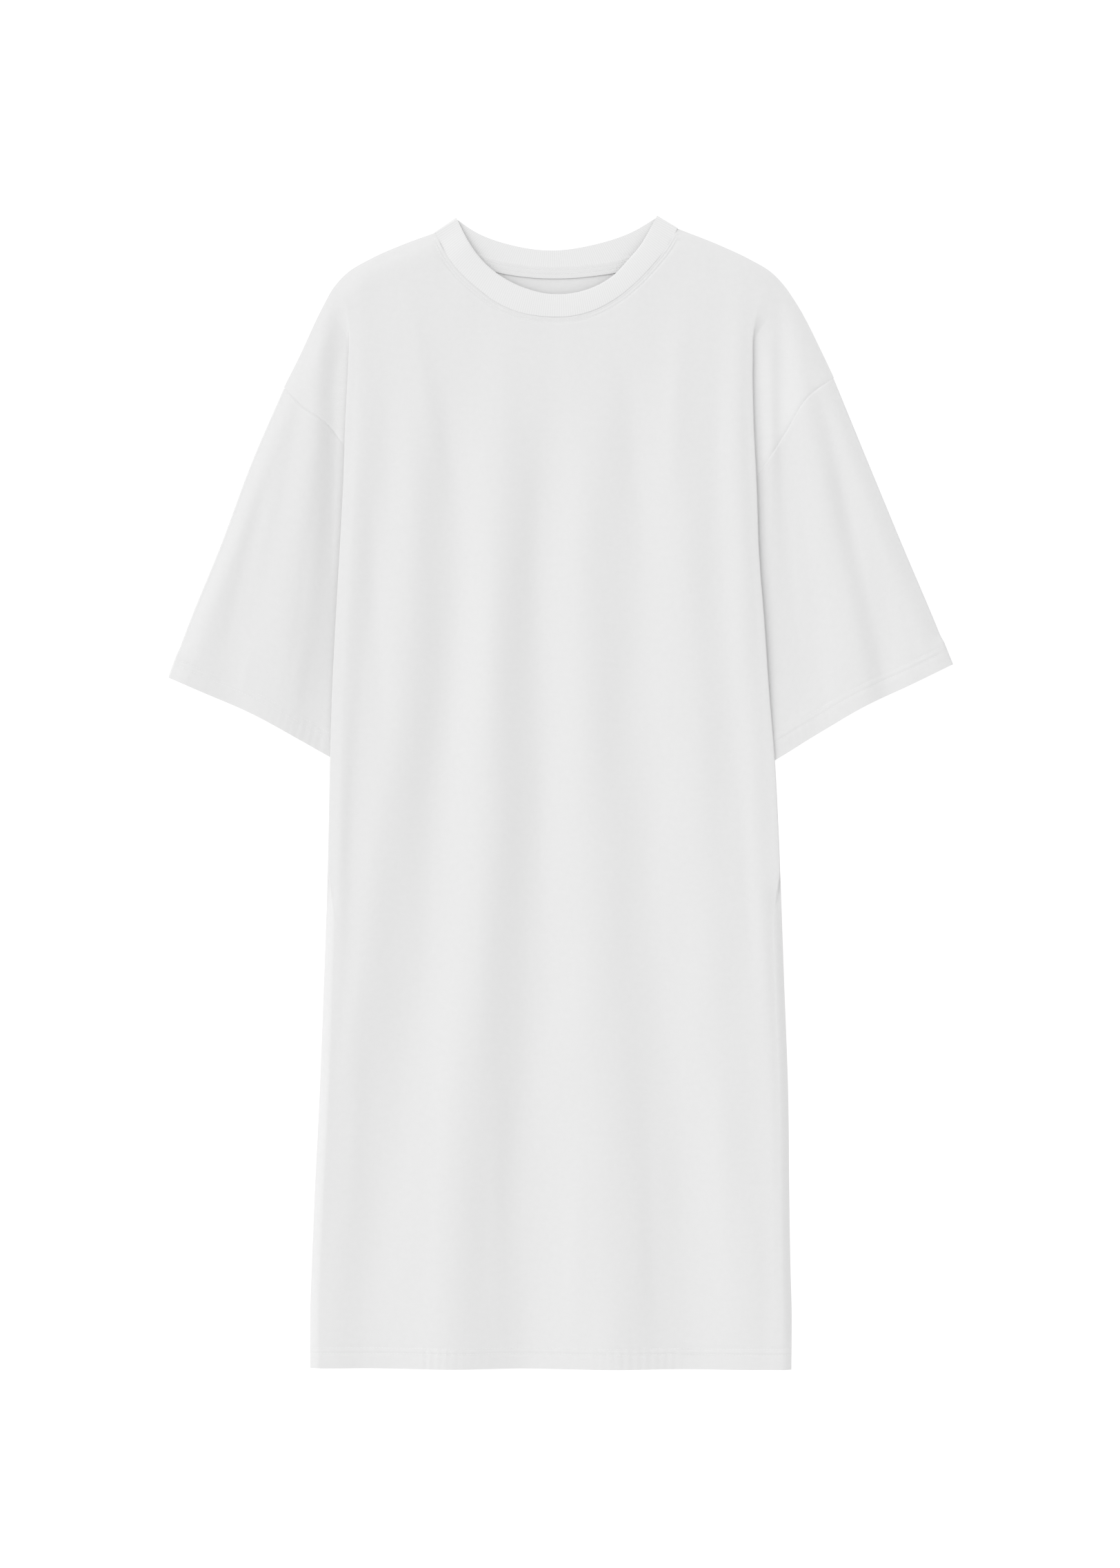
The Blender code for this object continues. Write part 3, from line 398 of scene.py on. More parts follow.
# Folds of the shoulder drop and sleeve, from beside the body outwards: distance from the
# middle of the body, then height, at the levels below
ARM_LEVELS = (14, 60, 124, 200, 285, 344, 400, 440, 490)
ARM_FOLDS = {
    "right": {
        "tuck": (
            (227, 226, 225, 221, 218, 217, 217, 216, 217),
            (4.9, 4.9, 3.2, 2.9, 2.8, 2.8, 2.8, 3.3, 6.2),
        ),
        "ridge": (
            (272, 280, 271, 258, 247, 242, 239, 234, 229),
            (9.6, 10.6, 11.4, 11.4, 11.0, 10.0, 9.0, 7.8, 6.9),
        ),
        "trough": (
            (318, 326, 324, 306, 284, 267, 252, 243, 236),
            (7.4, 7.6, 7.6, 7.8, 7.8, 7.8, 7.8, 7.6, 6.8),
        ),
        "outer_ridge": (
            (345, 352, 352, 332, 304, 284, 264, 252, 243),
            (8.6, 8.8, 9.0, 9.0, 8.8, 8.4, 8.0, 7.8, 7.0),
        ),
    },
    "left": {
        "tuck": (
            (211, 209, 205, 199, 195, 194, 193, 194, 200),
            (4.9, 4.9, 3.2, 2.9, 2.8, 2.8, 2.8, 3.3, 6.2),
        ),
        "small_ridge": (
            (220, 217, 214, 209, 206, 205, 204, 204, 207),
            (5.2, 5.0, 3.6, 3.8, 4.6, 5.6, 5.9, 5.9, 6.4),
        ),
        "inner_trough": (
            (240, 238, 232, 225, 219, 215, 214, 214, 214),
            (5.0, 4.9, 3.6, 3.3, 3.3, 3.4, 3.5, 4.1, 6.3),
        ),
        "ridge": (
            (292, 298, 291, 276, 258, 246, 237, 230, 225),
            (9.4, 10.4, 11.2, 11.4, 11.0, 10.0, 9.0, 7.8, 6.9),
        ),
        "trough": (
            (316, 323, 317, 301, 281, 266, 250, 240, 233),
            (6.4, 6.4, 6.4, 6.6, 6.8, 7.2, 7.6, 7.6, 6.8),
        ),
        "outer_ridge": (
            (340, 350, 344, 328, 303, 284, 262, 250, 242),
            (8.4, 8.8, 9.0, 9.0, 8.8, 8.4, 8.0, 7.8, 7.0),
        ),
    },
}


def smooth(at, knots, values):
    """Values at places on a curve through the knots: a cubic between each two, whose slopes
    at the knots are those of the parabola through a knot and its neighbours."""
    knots, values = np.asarray(knots, float), np.asarray(values, float)
    at = np.asarray(at, float)
    slopes = np.gradient(values, knots, axis=0)
    i = np.clip(np.searchsorted(knots, at) - 1, 0, len(knots) - 2)
    width = knots[i + 1] - knots[i]
    s = np.clip((at - knots[i]) / width, 0, 1)
    if values.ndim > 1:
        s, width = s[..., None], width[..., None]
    start = (2 * s**3 - 3 * s**2 + 1) * values[i] + (s**3 - 2 * s**2 + s) * width * slopes[i]
    end = (3 * s**2 - 2 * s**3) * values[i + 1] + (s**3 - s**2) * width * slopes[i + 1]
    return start + end


def path(points, share):
    """Points at shares of the length of the smooth curve through a few points."""
    points = np.asarray(points, float)
    steps = np.hypot(*np.diff(points, axis=0).T)
    return smooth(share, np.concatenate([[0.0], np.cumsum(steps)]) / steps.sum(), points)


def level(table, y, column=1):
    """A table's column at height y up the dress."""
    rows = np.asarray(table, float)
    return smooth(y, rows[:, 0], rows[:, column])


def ease(t):
    """0 to 1 along half a cosine wave, level at both ends."""
    return 0.5 - 0.5 * np.cos(np.pi * np.clip(t, 0, 1))


def distance(line, x, y):
    """Distance in the plane from each place to a line through points."""
    nearest = np.full(np.shape(x), np.inf)
    for a, b in zip(line[:-1], line[1:]):
        run = b - a
        t = np.clip(((x - a[0]) * run[0] + (y - a[1]) * run[1]) / (run @ run), 0, 1)
        nearest = np.minimum(nearest, np.hypot(x - a[0] - t * run[0], y - a[1] - t * run[1]))
    return nearest


def hem_y(x):
    """Level of the bottom edge, a straight line from one side seam to the other."""
    t = (x - HEM_RIGHT_X) / (HEM_LEFT_X - HEM_RIGHT_X)
    return HEM_RIGHT_Y + (HEM_LEFT_Y - HEM_RIGHT_Y) * t


def edge_rise(x, y):
    """0 on the outline of the shoulders and sleeves, 1 from EDGE_ROUND inside it, and a
    quarter of a sine wave between."""
    nearest = [distance(np.concatenate([
        path(SHOULDER[side], np.linspace(0, 1, 25)),
        path(SLEEVE_OUTER[side], np.linspace(0, 1, 12))[1:],
    ]), x, y) for side in SIGN]
    return np.sin(0.5 * np.pi * np.clip(np.minimum(*nearest) / EDGE_ROUND, 0, 1))


def across(x, places, heights, round_start=0.0, round_end=0.0):
    """Height of a folded layer at x: half a cosine wave from each fold line to the next. At
    the two ends it may rise like a quarter of a sine wave instead."""
    z = heights[0]
    last = len(places) - 2
    for k in range(last + 1):
        t = np.clip((x - places[k]) / (places[k + 1] - places[k]), 0, 1)
        step = ease(t)
        if k == 0:
            step = step + round_start * (np.sin(0.5 * np.pi * t) - step)
        elif k == last:
            step = step + round_end * (1 - np.cos(0.5 * np.pi * t) - step)
        z = z + (heights[k + 1] - heights[k]) * step
    return z


def laid_strip(y):
    """Width of the front laid on the back beside the side seam. It runs out below the sleeve,
    and below nought it says how far the side edge has rolled open."""
    return LAID_STRIP * (1 - np.maximum(RUN_OUT_TOP - y, 0) / (RUN_OUT_TOP - RUN_OUT_END))


def turns(y):
    """Radii of the side pleat's inner turn and its outer one, on the outer face."""
    return 0.5 * (level(PLEAT_HEIGHT, y) - SEAM_TOP), 0.5 * PLEAT_LAYERS


def pleat_reach(y):
    """How far inside the body's edge the front's open face begins."""
    inner, outer = turns(y)
    rolled = np.clip(inner + outer + LEAST_STRIP - laid_strip(y), outer, SIDE_ROLL)
    return np.where(y < 0, rolled, outer)


def pleat_run(side, y):
    """How far outside the open face's edge the pleat's inner turn ends: below nought they
    overlap, and above it the pleat has opened into a step."""
    inner, outer = turns(y)
    column = SIDE_COLUMN[side]
    beside = SIGN[side] * (level(BODY_EDGE, y, column) - level(SIDE_SEAM, y, column))
    beside = np.where(y > SIDE_SEAM[0][0], beside, 0.0)
    low = pleat_reach(y) - np.maximum(laid_strip(y) - inner, LEAST_STRIP) - beside
    return np.where(y >= UNDERARM_LEVEL, inner + outer - level(PLEAT_DEPTH, y), low)


def loosened(side, y):
    """1 below the pleat, where the front only rolls over to its seam, and 0 above."""
    most = SIDE_ROLL - LEAST_STRIP
    return np.where(y < 0, ease((pleat_run(side, y) - LEAST_STRIP) / (most - LEAST_STRIP)), 0.0)


def pleat_start(side, y):
    """Where the front's open face begins, just inside the body's edge."""
    return level(BODY_EDGE, y, SIDE_COLUMN[side]) - SIGN[side] * pleat_reach(y)


def seam_height(y):
    """Outer face of the front at its side seam, lifted where both hems are double."""
    return SEAM_TOP + 2 * WALL * ease((hem_y(0) + HEM_DEPTH + HEM_EASE - y) / HEM_EASE)


def front_height(x, y):
    """Outer face of the front: its folds, let down to the seams at the shoulders."""
    seam = seam_height(y)
    places = [smooth(y, FOLD_LEVELS, xs) for xs, _ in FRONT_FOLDS.values()]
    heights = [smooth(y, FOLD_LEVELS, zs) for _, zs in FRONT_FOLDS.values()]
    loose = {side: loosened(side, y) for side in SIGN}
    for side, at in (("right", 0), ("left", len(places) + 1)):
        edge = level(BODY_EDGE, y, SIDE_COLUMN[side])
        folded_top = level(PLEAT_HEIGHT, y) + PLEAT_LAYERS
        places.insert(at, loose[side] * edge + (1 - loose[side]) * pleat_start(side, y))
        heights.insert(at, loose[side] * seam + (1 - loose[side]) * folded_top)
    z = across(x, places, heights, loose["right"], loose["left"])
    return SEAM_TOP + (z - SEAM_TOP) * edge_rise(x, y)


def arm_height(side, x, y):
    """Outer face of the shoulder drop and of the sleeve's upper layer."""
    out = SIGN[side] * x
    body = SIGN[side] * level(BODY_EDGE, y, SIDE_COLUMN[side])
    low = smooth(y, ARM_LEVELS, ARM_FOLDS[side]["tuck"][1])
    places, heights = [body - TUCK_START], [np.where(y > UNDERARM_LEVEL, SEAM_TOP, low)]
    for xs, zs in ARM_FOLDS[side].values():
        places.append(smooth(y, ARM_LEVELS, xs))
        heights.append(smooth(y, ARM_LEVELS, zs))
    z = across(out, places, heights)
    off = distance(path(CUFF[side], np.linspace(0, 1, 12)), x, y)
    edge = SEAM_TOP + HEM_EDGE_LIFT * ease((HEM_DEPTH + HEM_EASE - off) / CUFF_EASE)
    return edge + (np.maximum(z, edge) - edge) * edge_rise(x, y)


def rows_of(arm_rows, skirt_rows):
    """Shares of the way from the shoulder to the hem. The rows lie close together beside the
    neck seam and over the hem, and evenly between."""
    top, arm = np.arange(NECK_ROWS_DEEP), np.linspace(NECK_ROWS_DEEP, ARM_LENGTH, arm_rows)
    skirt = np.linspace(ARM_LENGTH, body_length - HEM_LEVELS[0], skirt_rows)[1:-1]
    return np.concatenate([top, arm, skirt, body_length - np.array(HEM_LEVELS)]) / body_length


def inward(points, side_on_left, by):
    """A curve in the plane moved sideways, to its left or its right."""
    run = np.gradient(points, axis=0)
    run /= np.linalg.norm(run, axis=1)[:, None]
    normal = np.stack([-run[:, 1], run[:, 0]], axis=1)
    return points + (by if side_on_left else -by) * normal


def seam_line(side, share):
    """The front and back panels' shared edge, armhole then side seam, at shares of the way
    from the shoulder to the hem."""
    in_arm = share <= underarm
    arm = inward(path(ARMHOLE[side], share[in_arm] / underarm), side == "right", 0.5 * SEAM_GAP)
    bottom = HEM_LEFT_Y if side == "left" else HEM_RIGHT_Y
    y = UNDERARM_LEVEL + (bottom - UNDERARM_LEVEL) * (share[~in_arm] - underarm) / (1 - underarm)
    column = SIDE_COLUMN[side]
    x = np.where(y > SIDE_SEAM[0][0], level(SIDE_SEAM, y, column), level(BODY_EDGE, y, column))
    return np.concatenate([arm, np.stack([x, y], axis=1)])


def patch(top, bottom, first, last, u, v):
    """A Coons patch in the plane between four edges, at shares u along the top and v down
    the first and last ones."""
    u, v = u[None, :, None], v[:, None, None]
    corners = ((1 - u) * (1 - v) * top[0] + u * (1 - v) * top[-1]
               + (1 - u) * v * bottom[0] + u * v * bottom[-1])
    return ((1 - v) * top[None] + v * bottom[None]
            + (1 - u) * first[:, None] + u * last[:, None] - corners)


def hem_plies(shares, length):
    """Plies of cloth at shares of a piece's length: two over its hem, and one above."""
    return np.where(shares >= 1 - (HEM_DEPTH + 0.1) / length, 2.0, 1.0)[:, None]


def hem_line(points, row):
    """The line of a body panel's points that a row of its hem's sewing follows."""
    line = points[HEM_LEVELS.index(row) - len(HEM_LEVELS)].copy()
    line[:, 1] = hem_y(line[:, 0]) + row
    return line


def cloth_mesh(name, grid, plies, wall, look, closed_rows=False, closed_columns=False,
               upright=False):
    """A piece of cloth whose outer face is the grid, with a UV map in metres: U is the length
    across from the middle column, V the length up from the last row. An upright piece's grain
    runs along Y. A closed strip's V is that of its middle. Solidify adds the wall, and the cut
    edges are marked sharp, so that they don't shade the face beside them."""
    rows, columns = grid.shape[:2]
    i, j = np.meshgrid(np.arange(rows if closed_rows else rows - 1),
                       np.arange(columns if closed_columns else columns - 1), indexing="ij")
    below, beside = (i + 1) % rows, (j + 1) % columns
    quads = np.stack([i * columns + j, below * columns + j, below * columns + beside,
                      i * columns + beside], axis=-1).reshape(-1, 4)
    mesh = bpy.data.meshes.new(name)
    mesh.from_pydata((grid.reshape(-1, 3) * MM).tolist(), [], quads.tolist())
    wide = np.pad(grid, ((0, int(closed_rows)), (0, int(closed_columns)), (0, 0)), mode="wrap")
    over, down = np.diff(wide, axis=1, prepend=wide[:, :1]), np.diff(wide, axis=0, prepend=wide[:1])
    if upright:
        over[..., 1], down[..., 0] = 0, 0
    u, v = np.cumsum(np.linalg.norm(over, axis=2), 1), np.cumsum(np.linalg.norm(down, axis=2), 0)
    middle = wide.shape[1] // 2
    if closed_rows:
        v = v[:, [middle]] + 0 * v
    cloth = np.stack([u - u[:, [middle]], v[-1:] - v], axis=2) * MM
    corner = np.stack([cloth[i, j], cloth[i + 1, j], cloth[i + 1, j + 1], cloth[i, j + 1]], axis=-2)
    mesh.uv_layers.new(name="cloth").data.foreach_set("uv", corner.reshape(-1))
    mesh.materials.append(look)
    mesh.shade_smooth()
    ends = np.empty(2 * len(mesh.edges), np.int32)
    mesh.edges.foreach_get("vertices", ends)
    i, j = np.divmod(ends.reshape(-1, 2), columns)
    row_rim = (i[:, 0] == i[:, 1]) & np.isin(i[:, 0], (0, rows - 1))
    column_rim = (j[:, 0] == j[:, 1]) & np.isin(j[:, 0], (0, columns - 1))
    rim = (row_rim & (not closed_rows)) | (column_rim & (not closed_columns))
    mesh.edges.foreach_set("use_edge_sharp", rim)
    piece = placed(name, mesh)
    group = piece.vertex_groups.new(name="plies")
    spread = np.broadcast_to(plies, (rows, columns)).ravel()
    for count in np.unique(spread):
        group.add(np.flatnonzero(spread == count).tolist(), float(count) / 2, "REPLACE")
    solidify = piece.modifiers.new("wall", "SOLIDIFY")
    solidify.thickness = wall * 2 * MM
    solidify.offset = -1
    solidify.vertex_group = "plies"
    solidify.thickness_vertex_group = 0
    return piece


def creased(x, y, creases):
    """Soft straight creases, summed: each a bell across its line that fades at both ends."""
    total = np.zeros(np.shape(x))
    for start, end, width, height in creases:
        run = np.array(end, float) - start
        along = ((x - start[0]) * run[0] + (y - start[1]) * run[1]) / (run @ run)
        off = ((x - start[0]) * run[1] - (y - start[1]) * run[0]) / np.hypot(*run)
        bell = np.exp(-(off / width) ** 2)
        total = total + height * bell * np.sin(np.pi * np.clip(along, 0, 1)) ** 0.8
    return total


def groove(off, rows, depth, width):
    """Soft grooves at distances from an edge, summed: depth x exp(-(distance / width)^2)."""
    return sum(depth * np.exp(-((off - row) / width) ** 2) for row in rows)


def unevenness(x, y):
    """Faint waves of handled cloth: four crossing sine waves of unlike length."""
    return (0.16 * np.sin(x / 17 + 1.3 * np.sin(y / 61)) * np.sin(y / 43 + 0.6)
            + 0.12 * np.sin(x / 9.1 - y / 37) + 0.10 * np.sin(x / 29 + y / 23 + 2.0)
            + 0.05 * np.sin(x / 5.3 + y / 71))


# Small creases, and the broad fall of the skirt's folds at the hem: start, end, width, height
FRONT_CREASES = (
    ((-106, -180), (-109, -900), 26.0, 1.6), ((-32, -180), (-36, -900), 24.0, -1.0),
    ((-190, -180), (-190, -900), 24.0, -0.8), ((48, -300), (54, -900), 26.0, 0.8),
    ((112, -300), (124, -900), 26.0, -0.7),
    ((-150, 505), (-118, 300), 9.0, 0.8), ((-128, 470), (-96, 250), 11.0, -0.7),
    ((-20, 440), (-44, 180), 13.0, 0.8), ((60, 452), (84, 210), 12.0, -0.8),
    ((120, 500), (104, 260), 10.0, 0.8), ((160, 480), (146, 240), 12.0, -0.7),
    ((-190, 330), (-168, 20), 9.0, -0.9), ((-140, 120), (-150, -190), 12.0, 0.7),
    ((-20, 60), (-12, -240), 10.0, -0.6), ((96, 20), (112, -260), 12.0, 0.7),
    ((176, 120), (188, -210), 9.0, -0.8), ((-196, -180), (-206, -440), 10.0, 0.8),
    ((-120, -210), (-136, -520), 11.0, -0.8), ((-60, -260), (-66, -540), 9.0, 0.6),
    ((20, -300), (12, -548), 10.0, 0.6), ((84, -280), (92, -550), 10.0, -0.7),
    ((150, -240), (166, -540), 11.0, 0.8), ((200, -330), (206, -545), 8.0, -0.6),
)
ARM_CREASES = {
    "right": (
        ((-262, 372), (-300, 200), 8.0, 0.9), ((-290, 300), (-330, 130), 8.0, -0.7),
        ((-236, 330), (-262, 120), 7.0, -0.8), ((-300, 150), (-312, 92), 6.0, 0.5),
        ((-250, 150), (-262, 66), 7.0, 0.6), ((-350, 170), (-366, 118), 6.0, -0.4),
    ),
    "left": (
        ((258, 380), (290, 210), 8.0, -0.8), ((284, 300), (318, 140), 8.0, 0.9),
        ((222, 330), (244, 120), 7.0, 0.8), ((306, 150), (318, 100), 6.0, -0.5),
        ((250, 140), (262, 70), 7.0, -0.6), ((340, 172), (360, 128), 6.0, 0.5),
    ),
}
HEM_ROWS = (14.6, 20.0)  # the two rows of a hem's sewing, above its edge
NECK_ROWS = (2.7, 5.4)  # the two rows below the neckband's seam
HEM_ROW_DIP, HEM_ROW_WIDTH = 0.50, 0.9  # the groove at each row of a hem
NECK_ROW_DIP, NECK_ROW_WIDTH = 0.65, 0.8
SEAM_DIP, NECK_SEAM_DIP, SEAM_DIP_WIDTH = 0.70, 0.45, 1.1  # the groove along each seam
HEM_STEP, CUFF_STEP = 0.35, 0.3  # how far the face steps up at a double hem
PUCKER, PUCKER_LENGTH = 0.22, 8.0  # height and length of the waves that sewing pulls up
PUCKER_PAST, PUCKER_FADE = 4, 6  # where they end above the upper row, and how softly
SEAM_GAP = 0.02  # between neighbouring pieces at a seam
HEM_EDGE_LIFT = 2.3  # how much higher a sleeve's edges lie at the cuff's double hems

# Levels of the rows of points above the bottom edge, close together at the hem's sewing
HEM_LEVELS = (24.0, 22.0, 20.0, 19.0, 17.0, 15.6, 14.6, 13.6, 11.0, 7.0, 3.0, 0.0)
NECK_ROWS_DEEP = 12  # rows a millimetre apart beside the neck seam
SEWN_SHARE = np.linspace(0.01, 0.99, 300)  # the part of the neck seam with sewing beside it
ARM_LENGTH = PLEAT_TOP - UNDERARM_LEVEL

body_length = PLEAT_TOP - hem_y(0)
underarm = ARM_LENGTH / body_length


def sewn(off, along):
    """What a hem's two rows of sewing do to it: it dips at each row, and puckers between its
    edge and the upper row. off is the distance from the edge, along the place beside it."""
    inside = ease((HEM_ROWS[-1] + PUCKER_PAST - off) / PUCKER_FADE)
    wave = np.sin(2 * np.pi * along / PUCKER_LENGTH + 1.7 * np.sin(along / 23))
    dip = -groove(off, HEM_ROWS, HEM_ROW_DIP, HEM_ROW_WIDTH)
    return dip + PUCKER * wave * inside * (0.6 + 0.4 * np.sin(along / 31))


def armhole_dip(side, x, y):
    """The armhole seam: a narrow groove along its line."""
    off = distance(path(ARMHOLE[side], np.linspace(0, 1, 40)), x, y)
    return -groove(off, (0,), SEAM_DIP, SEAM_DIP_WIDTH)


def front_face(x, y):
    """The front's folds with its small creases, hem, neck sewing and unevenness."""
    detail = unevenness(x, y) + creased(x, y, FRONT_CREASES)
    off_hem = y - hem_y(x)
    detail = detail + sewn(off_hem, x) + HEM_STEP * ease((HEM_DEPTH + 1 - off_hem) / 2)
    off_neck = distance(path(NECK_SEAM_FRONT, np.linspace(0, 1, 60)), x, y)
    detail = detail - groove(off_neck, NECK_ROWS, NECK_ROW_DIP, NECK_ROW_WIDTH)
    detail = detail - groove(off_neck, (0,), NECK_SEAM_DIP, SEAM_DIP_WIDTH)
    inside = np.minimum(x - level(BODY_EDGE, y, 1), level(BODY_EDGE, y, 2) - x)
    return front_height(x, y) + detail * ease((inside - 2) / 8) * edge_rise(x, y)


def arm_face(side, x, y):
    """The shoulder drop and sleeve's upper layer, with creases, seam and cuff sewing."""
    detail = unevenness(x, y) + armhole_dip(side, x, y) + creased(x, y, ARM_CREASES[side])
    off = distance(path(CUFF[side], np.linspace(0, 1, 30)), x, y)
    step = CUFF_STEP * ease((HEM_DEPTH + 1 - off) / 2)
    detail = detail + sewn(off, np.hypot(x, y)) + step
    out = SIGN[side] * (x - level(BODY_EDGE, y, SIDE_COLUMN[side]))
    return arm_height(side, x, y) + detail * edge_rise(x, y) * ease((out - 1) / 8)


def shoulder_top(side):
    """Level of the shoulder's outline at the body's edge, where the side strip begins."""
    line = path(SHOULDER[side], np.linspace(0, 1, LINE_STEPS))
    line = line[np.argsort(line[:, 0])]
    return np.interp(pleat_start(side, PLEAT_TOP), line[:, 0], line[:, 1])


def shoulder_bulge(side, edge, seam, share):
    """How far the shoulder's curve lies from the straight line between the body's edge and
    the armhole, at shares of that line."""
    line = path(SHOULDER[side], np.linspace(0, 1, LINE_STEPS))
    run = seam - edge
    on_line = (line - edge) @ run / (run @ run)
    curve = np.stack([np.interp(share, on_line, line[:, k]) for k in (0, 1)], axis=1)
    return curve - (edge + share[:, None] * run)


def side_strip(side, shares, n):
    """The front from its seam to the body's edge: under layer, inner turn, pleat and outer
    turn. Seen along the dress, the two turns are arcs and the pleat is the straight line that
    touches both. Where the pleat opens the arcs grow shorter and wider, and in the end the
    front only rolls over to its seam."""
    sign = SIGN[side]
    seam = seam_line(side, shares)
    seam_x, seam_y = seam[:, 0], seam[:, 1]
    y_edge = shoulder_top(side) + (seam_y[-1] - shoulder_top(side)) * shares
    start, run = pleat_start(side, y_edge), pleat_run(side, y_edge)
    opened = np.maximum(run, 0)
    y_inner = np.where(shares <= underarm, y_edge, seam_y)
    y_inner = y_inner + (seam_y - y_inner) * opened / np.abs(seam_x - start)
    x_inner = start + sign * run
    steps = n["turn"] + n["pleat"] + n["turn"]
    open_share = opened[0] / np.abs(seam_x[0] - start[0])
    under = (np.arange(n["under"]) / n["under"]) ** SEAM_CROWDING
    share = np.concatenate([1 - (1 - open_share) * under,
                            open_share * (1 - np.arange(steps) / steps)])
    near_top = np.clip(1 - shares / underarm / BULGE_SHARE, 0, 1) ** 2
    bulge = shoulder_bulge(side, np.array([start[0], y_edge[0]]), seam[0], share)
    aside, up = np.moveaxis(bulge * near_top[:, None, None], 2, 0)
    top = front_face(start, y_edge)
    foot = arm_face(side, x_inner + aside[:, n["under"]], y_inner + up[:, n["under"]])
    foot = np.where(shares <= underarm, foot, SEAM_TOP)
    rise = top - foot
    slack = 1 - PLEAT_SLACK * np.exp(-(run / PLEAT_SLACK_RUN) ** 2)
    radius = 0.5 * rise * slack + PLEAT_SOFTNESS * opened**2
    inner_share = turns(y_edge)[0] / sum(turns(y_edge))
    apart = np.hypot(run, rise - radius)
    angle = np.arcsin(np.clip(radius / apart, 0, 1)) + np.arctan2(rise - radius, run)
    inner, outer = inner_share * radius, (1 - inner_share) * radius
    shallow = ease((STEEP - angle) / (STEEP - SHALLOW))

    strip = []
    for c, f in enumerate(under):
        x = seam_x + f * (x_inner - seam_x) + aside[:, c]
        y = seam_y + f * (y_inner - seam_y) + up[:, c]
        strip.append((x, y, np.where(shares <= underarm, arm_face(side, x, y), SEAM_TOP)))
    for c in range(steps):
        y = y_inner + (y_edge - y_inner) * c / steps + up[:, n["under"] + c]
        a = angle * min(c / n["turn"], 1)
        x_low, z_low = run - inner * np.sin(a), foot + inner * (1 - np.cos(a))
        a = angle * min((steps - c) / n["turn"], 1)
        x_high, z_high = outer * np.sin(a), top - outer * (1 - np.cos(a))
        f = np.clip((c - n["turn"]) / n["pleat"], 0, 1)
        x, z = x_low + (x_high - x_low) * f, z_low + (z_high - z_low) * f
        even = run * (1 - c / steps)
        on_inner = np.clip(run - even, 0, inner * np.sin(angle))
        on_outer = np.clip(even, 0, outer * np.sin(angle))
        straight = (run - even - on_inner) * np.tan(np.minimum(angle, SHALLOW))
        between = foot + inner - np.sqrt(inner**2 - on_inner**2) + straight
        over = top - outer + np.sqrt(outer**2 - on_outer**2)
        even_z = np.where(even < outer * np.sin(angle), over, between)
        x, z = x + shallow * (even - x), z + shallow * (even_z - z)
        strip.append((start + sign * x + aside[:, n["under"] + c], y, z))
    strip = np.stack([np.stack(point, axis=1) for point in strip], axis=1)

    f = np.linspace(0, 1, strip.shape[1] + 1)[None, :-1]
    hemmed = seam_height(y_edge)[:, None]
    rolled = np.stack([
        seam_x[:, None] + f * (start - seam_x)[:, None],
        seam_y[:, None] + f * (y_edge - seam_y)[:, None],
        hemmed + (top[:, None] - hemmed) * np.sin(0.5 * np.pi * f),
    ], axis=2)
    loose = loosened(side, y_edge)[:, None, None]
    return (1 - loose) * strip + loose * rolled


def front_grid(shares, counts):
    """The front's outer face: side strips, and between them columns from the neck and
    shoulders down to the hem, with the height that front_face() gives."""
    right, left = side_strip("right", shares, counts), side_strip("left", shares, counts)
    neck = inward(path(NECK_SEAM_FRONT, np.linspace(0, 1, counts["neck"])), False, 0.5 * SEAM_GAP)
    tops = {}
    for side in SIGN:
        line = path(SHOULDER[side], np.linspace(0, 1, 2 * LINE_STEPS))
        line = line[np.argsort(line[:, 0])]
        end = neck[0 if side == "right" else -1, 0]
        xs = np.linspace(pleat_start(side, PLEAT_TOP), end, counts["shoulder"] + 1)[:-1]
        tops[side] = np.stack([xs, np.interp(xs, line[:, 0], line[:, 1])], axis=1)
    top = np.concatenate([tops["right"], neck, tops["left"][::-1]])
    x_top, y_top = top[:, 0], top[:, 1]
    y = y_top + (hem_y(x_top) - y_top) * shares[:, None]
    scale = {side: pleat_start(side, np.minimum(y, PLEAT_TOP))
             / pleat_start(side, np.minimum(y_top, PLEAT_TOP)) for side in SIGN}
    x = x_top * np.where(x_top < 0, scale["right"], scale["left"])
    middle = np.stack([x, y, front_face(x, y)], axis=2)
    return np.concatenate([right, middle, left[:, ::-1]], axis=1)


front_shares = rows_of(46, 136)
# Columns across each part of the front's width
front_counts = {"under": 12, "turn": 5, "pleat": 4, "shoulder": 24, "neck": 116}
front_points = front_grid(front_shares, front_counts)
front_plies = hem_plies(front_shares, body_length)
front = cloth_mesh("front_panel", front_points, front_plies, WALL, jersey, upright=True)
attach(front, "root")
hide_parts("front")

hem_lines = [hem_line(front_points, row) for row in HEM_ROWS]
neck_lines = []
for row in NECK_ROWS:
    plan = inward(path(NECK_SEAM_FRONT, SEWN_SHARE), False, row)
    neck_lines.append(np.column_stack([plan, front_face(plan[:, 0], plan[:, 1])]))
front_sewing = [stitches("front_hem_stitches", hem_lines, 1),
                stitches("front_neck_stitches", neck_lines, 1)]


# Back panel
# One piece of the same jersey, flat on the surface, from the shoulders and the back neck to a
# hem turned up inside. It is sewn to the front along the shoulders and the side seams.
NECK_SEAM_BACK = (
    (-122.5, 546.8), (-99.0, 532.8), (-73.0, 521.2), (-40.0, 514.0), (-6.1, 511.8),
    (28.0, 513.8), (61.9, 519.9), (89.0, 532.6), (113.7, 550.9),
)


ROW_DIP = 0.4  # how deep a row of sewing lies in the face that the dress rests on
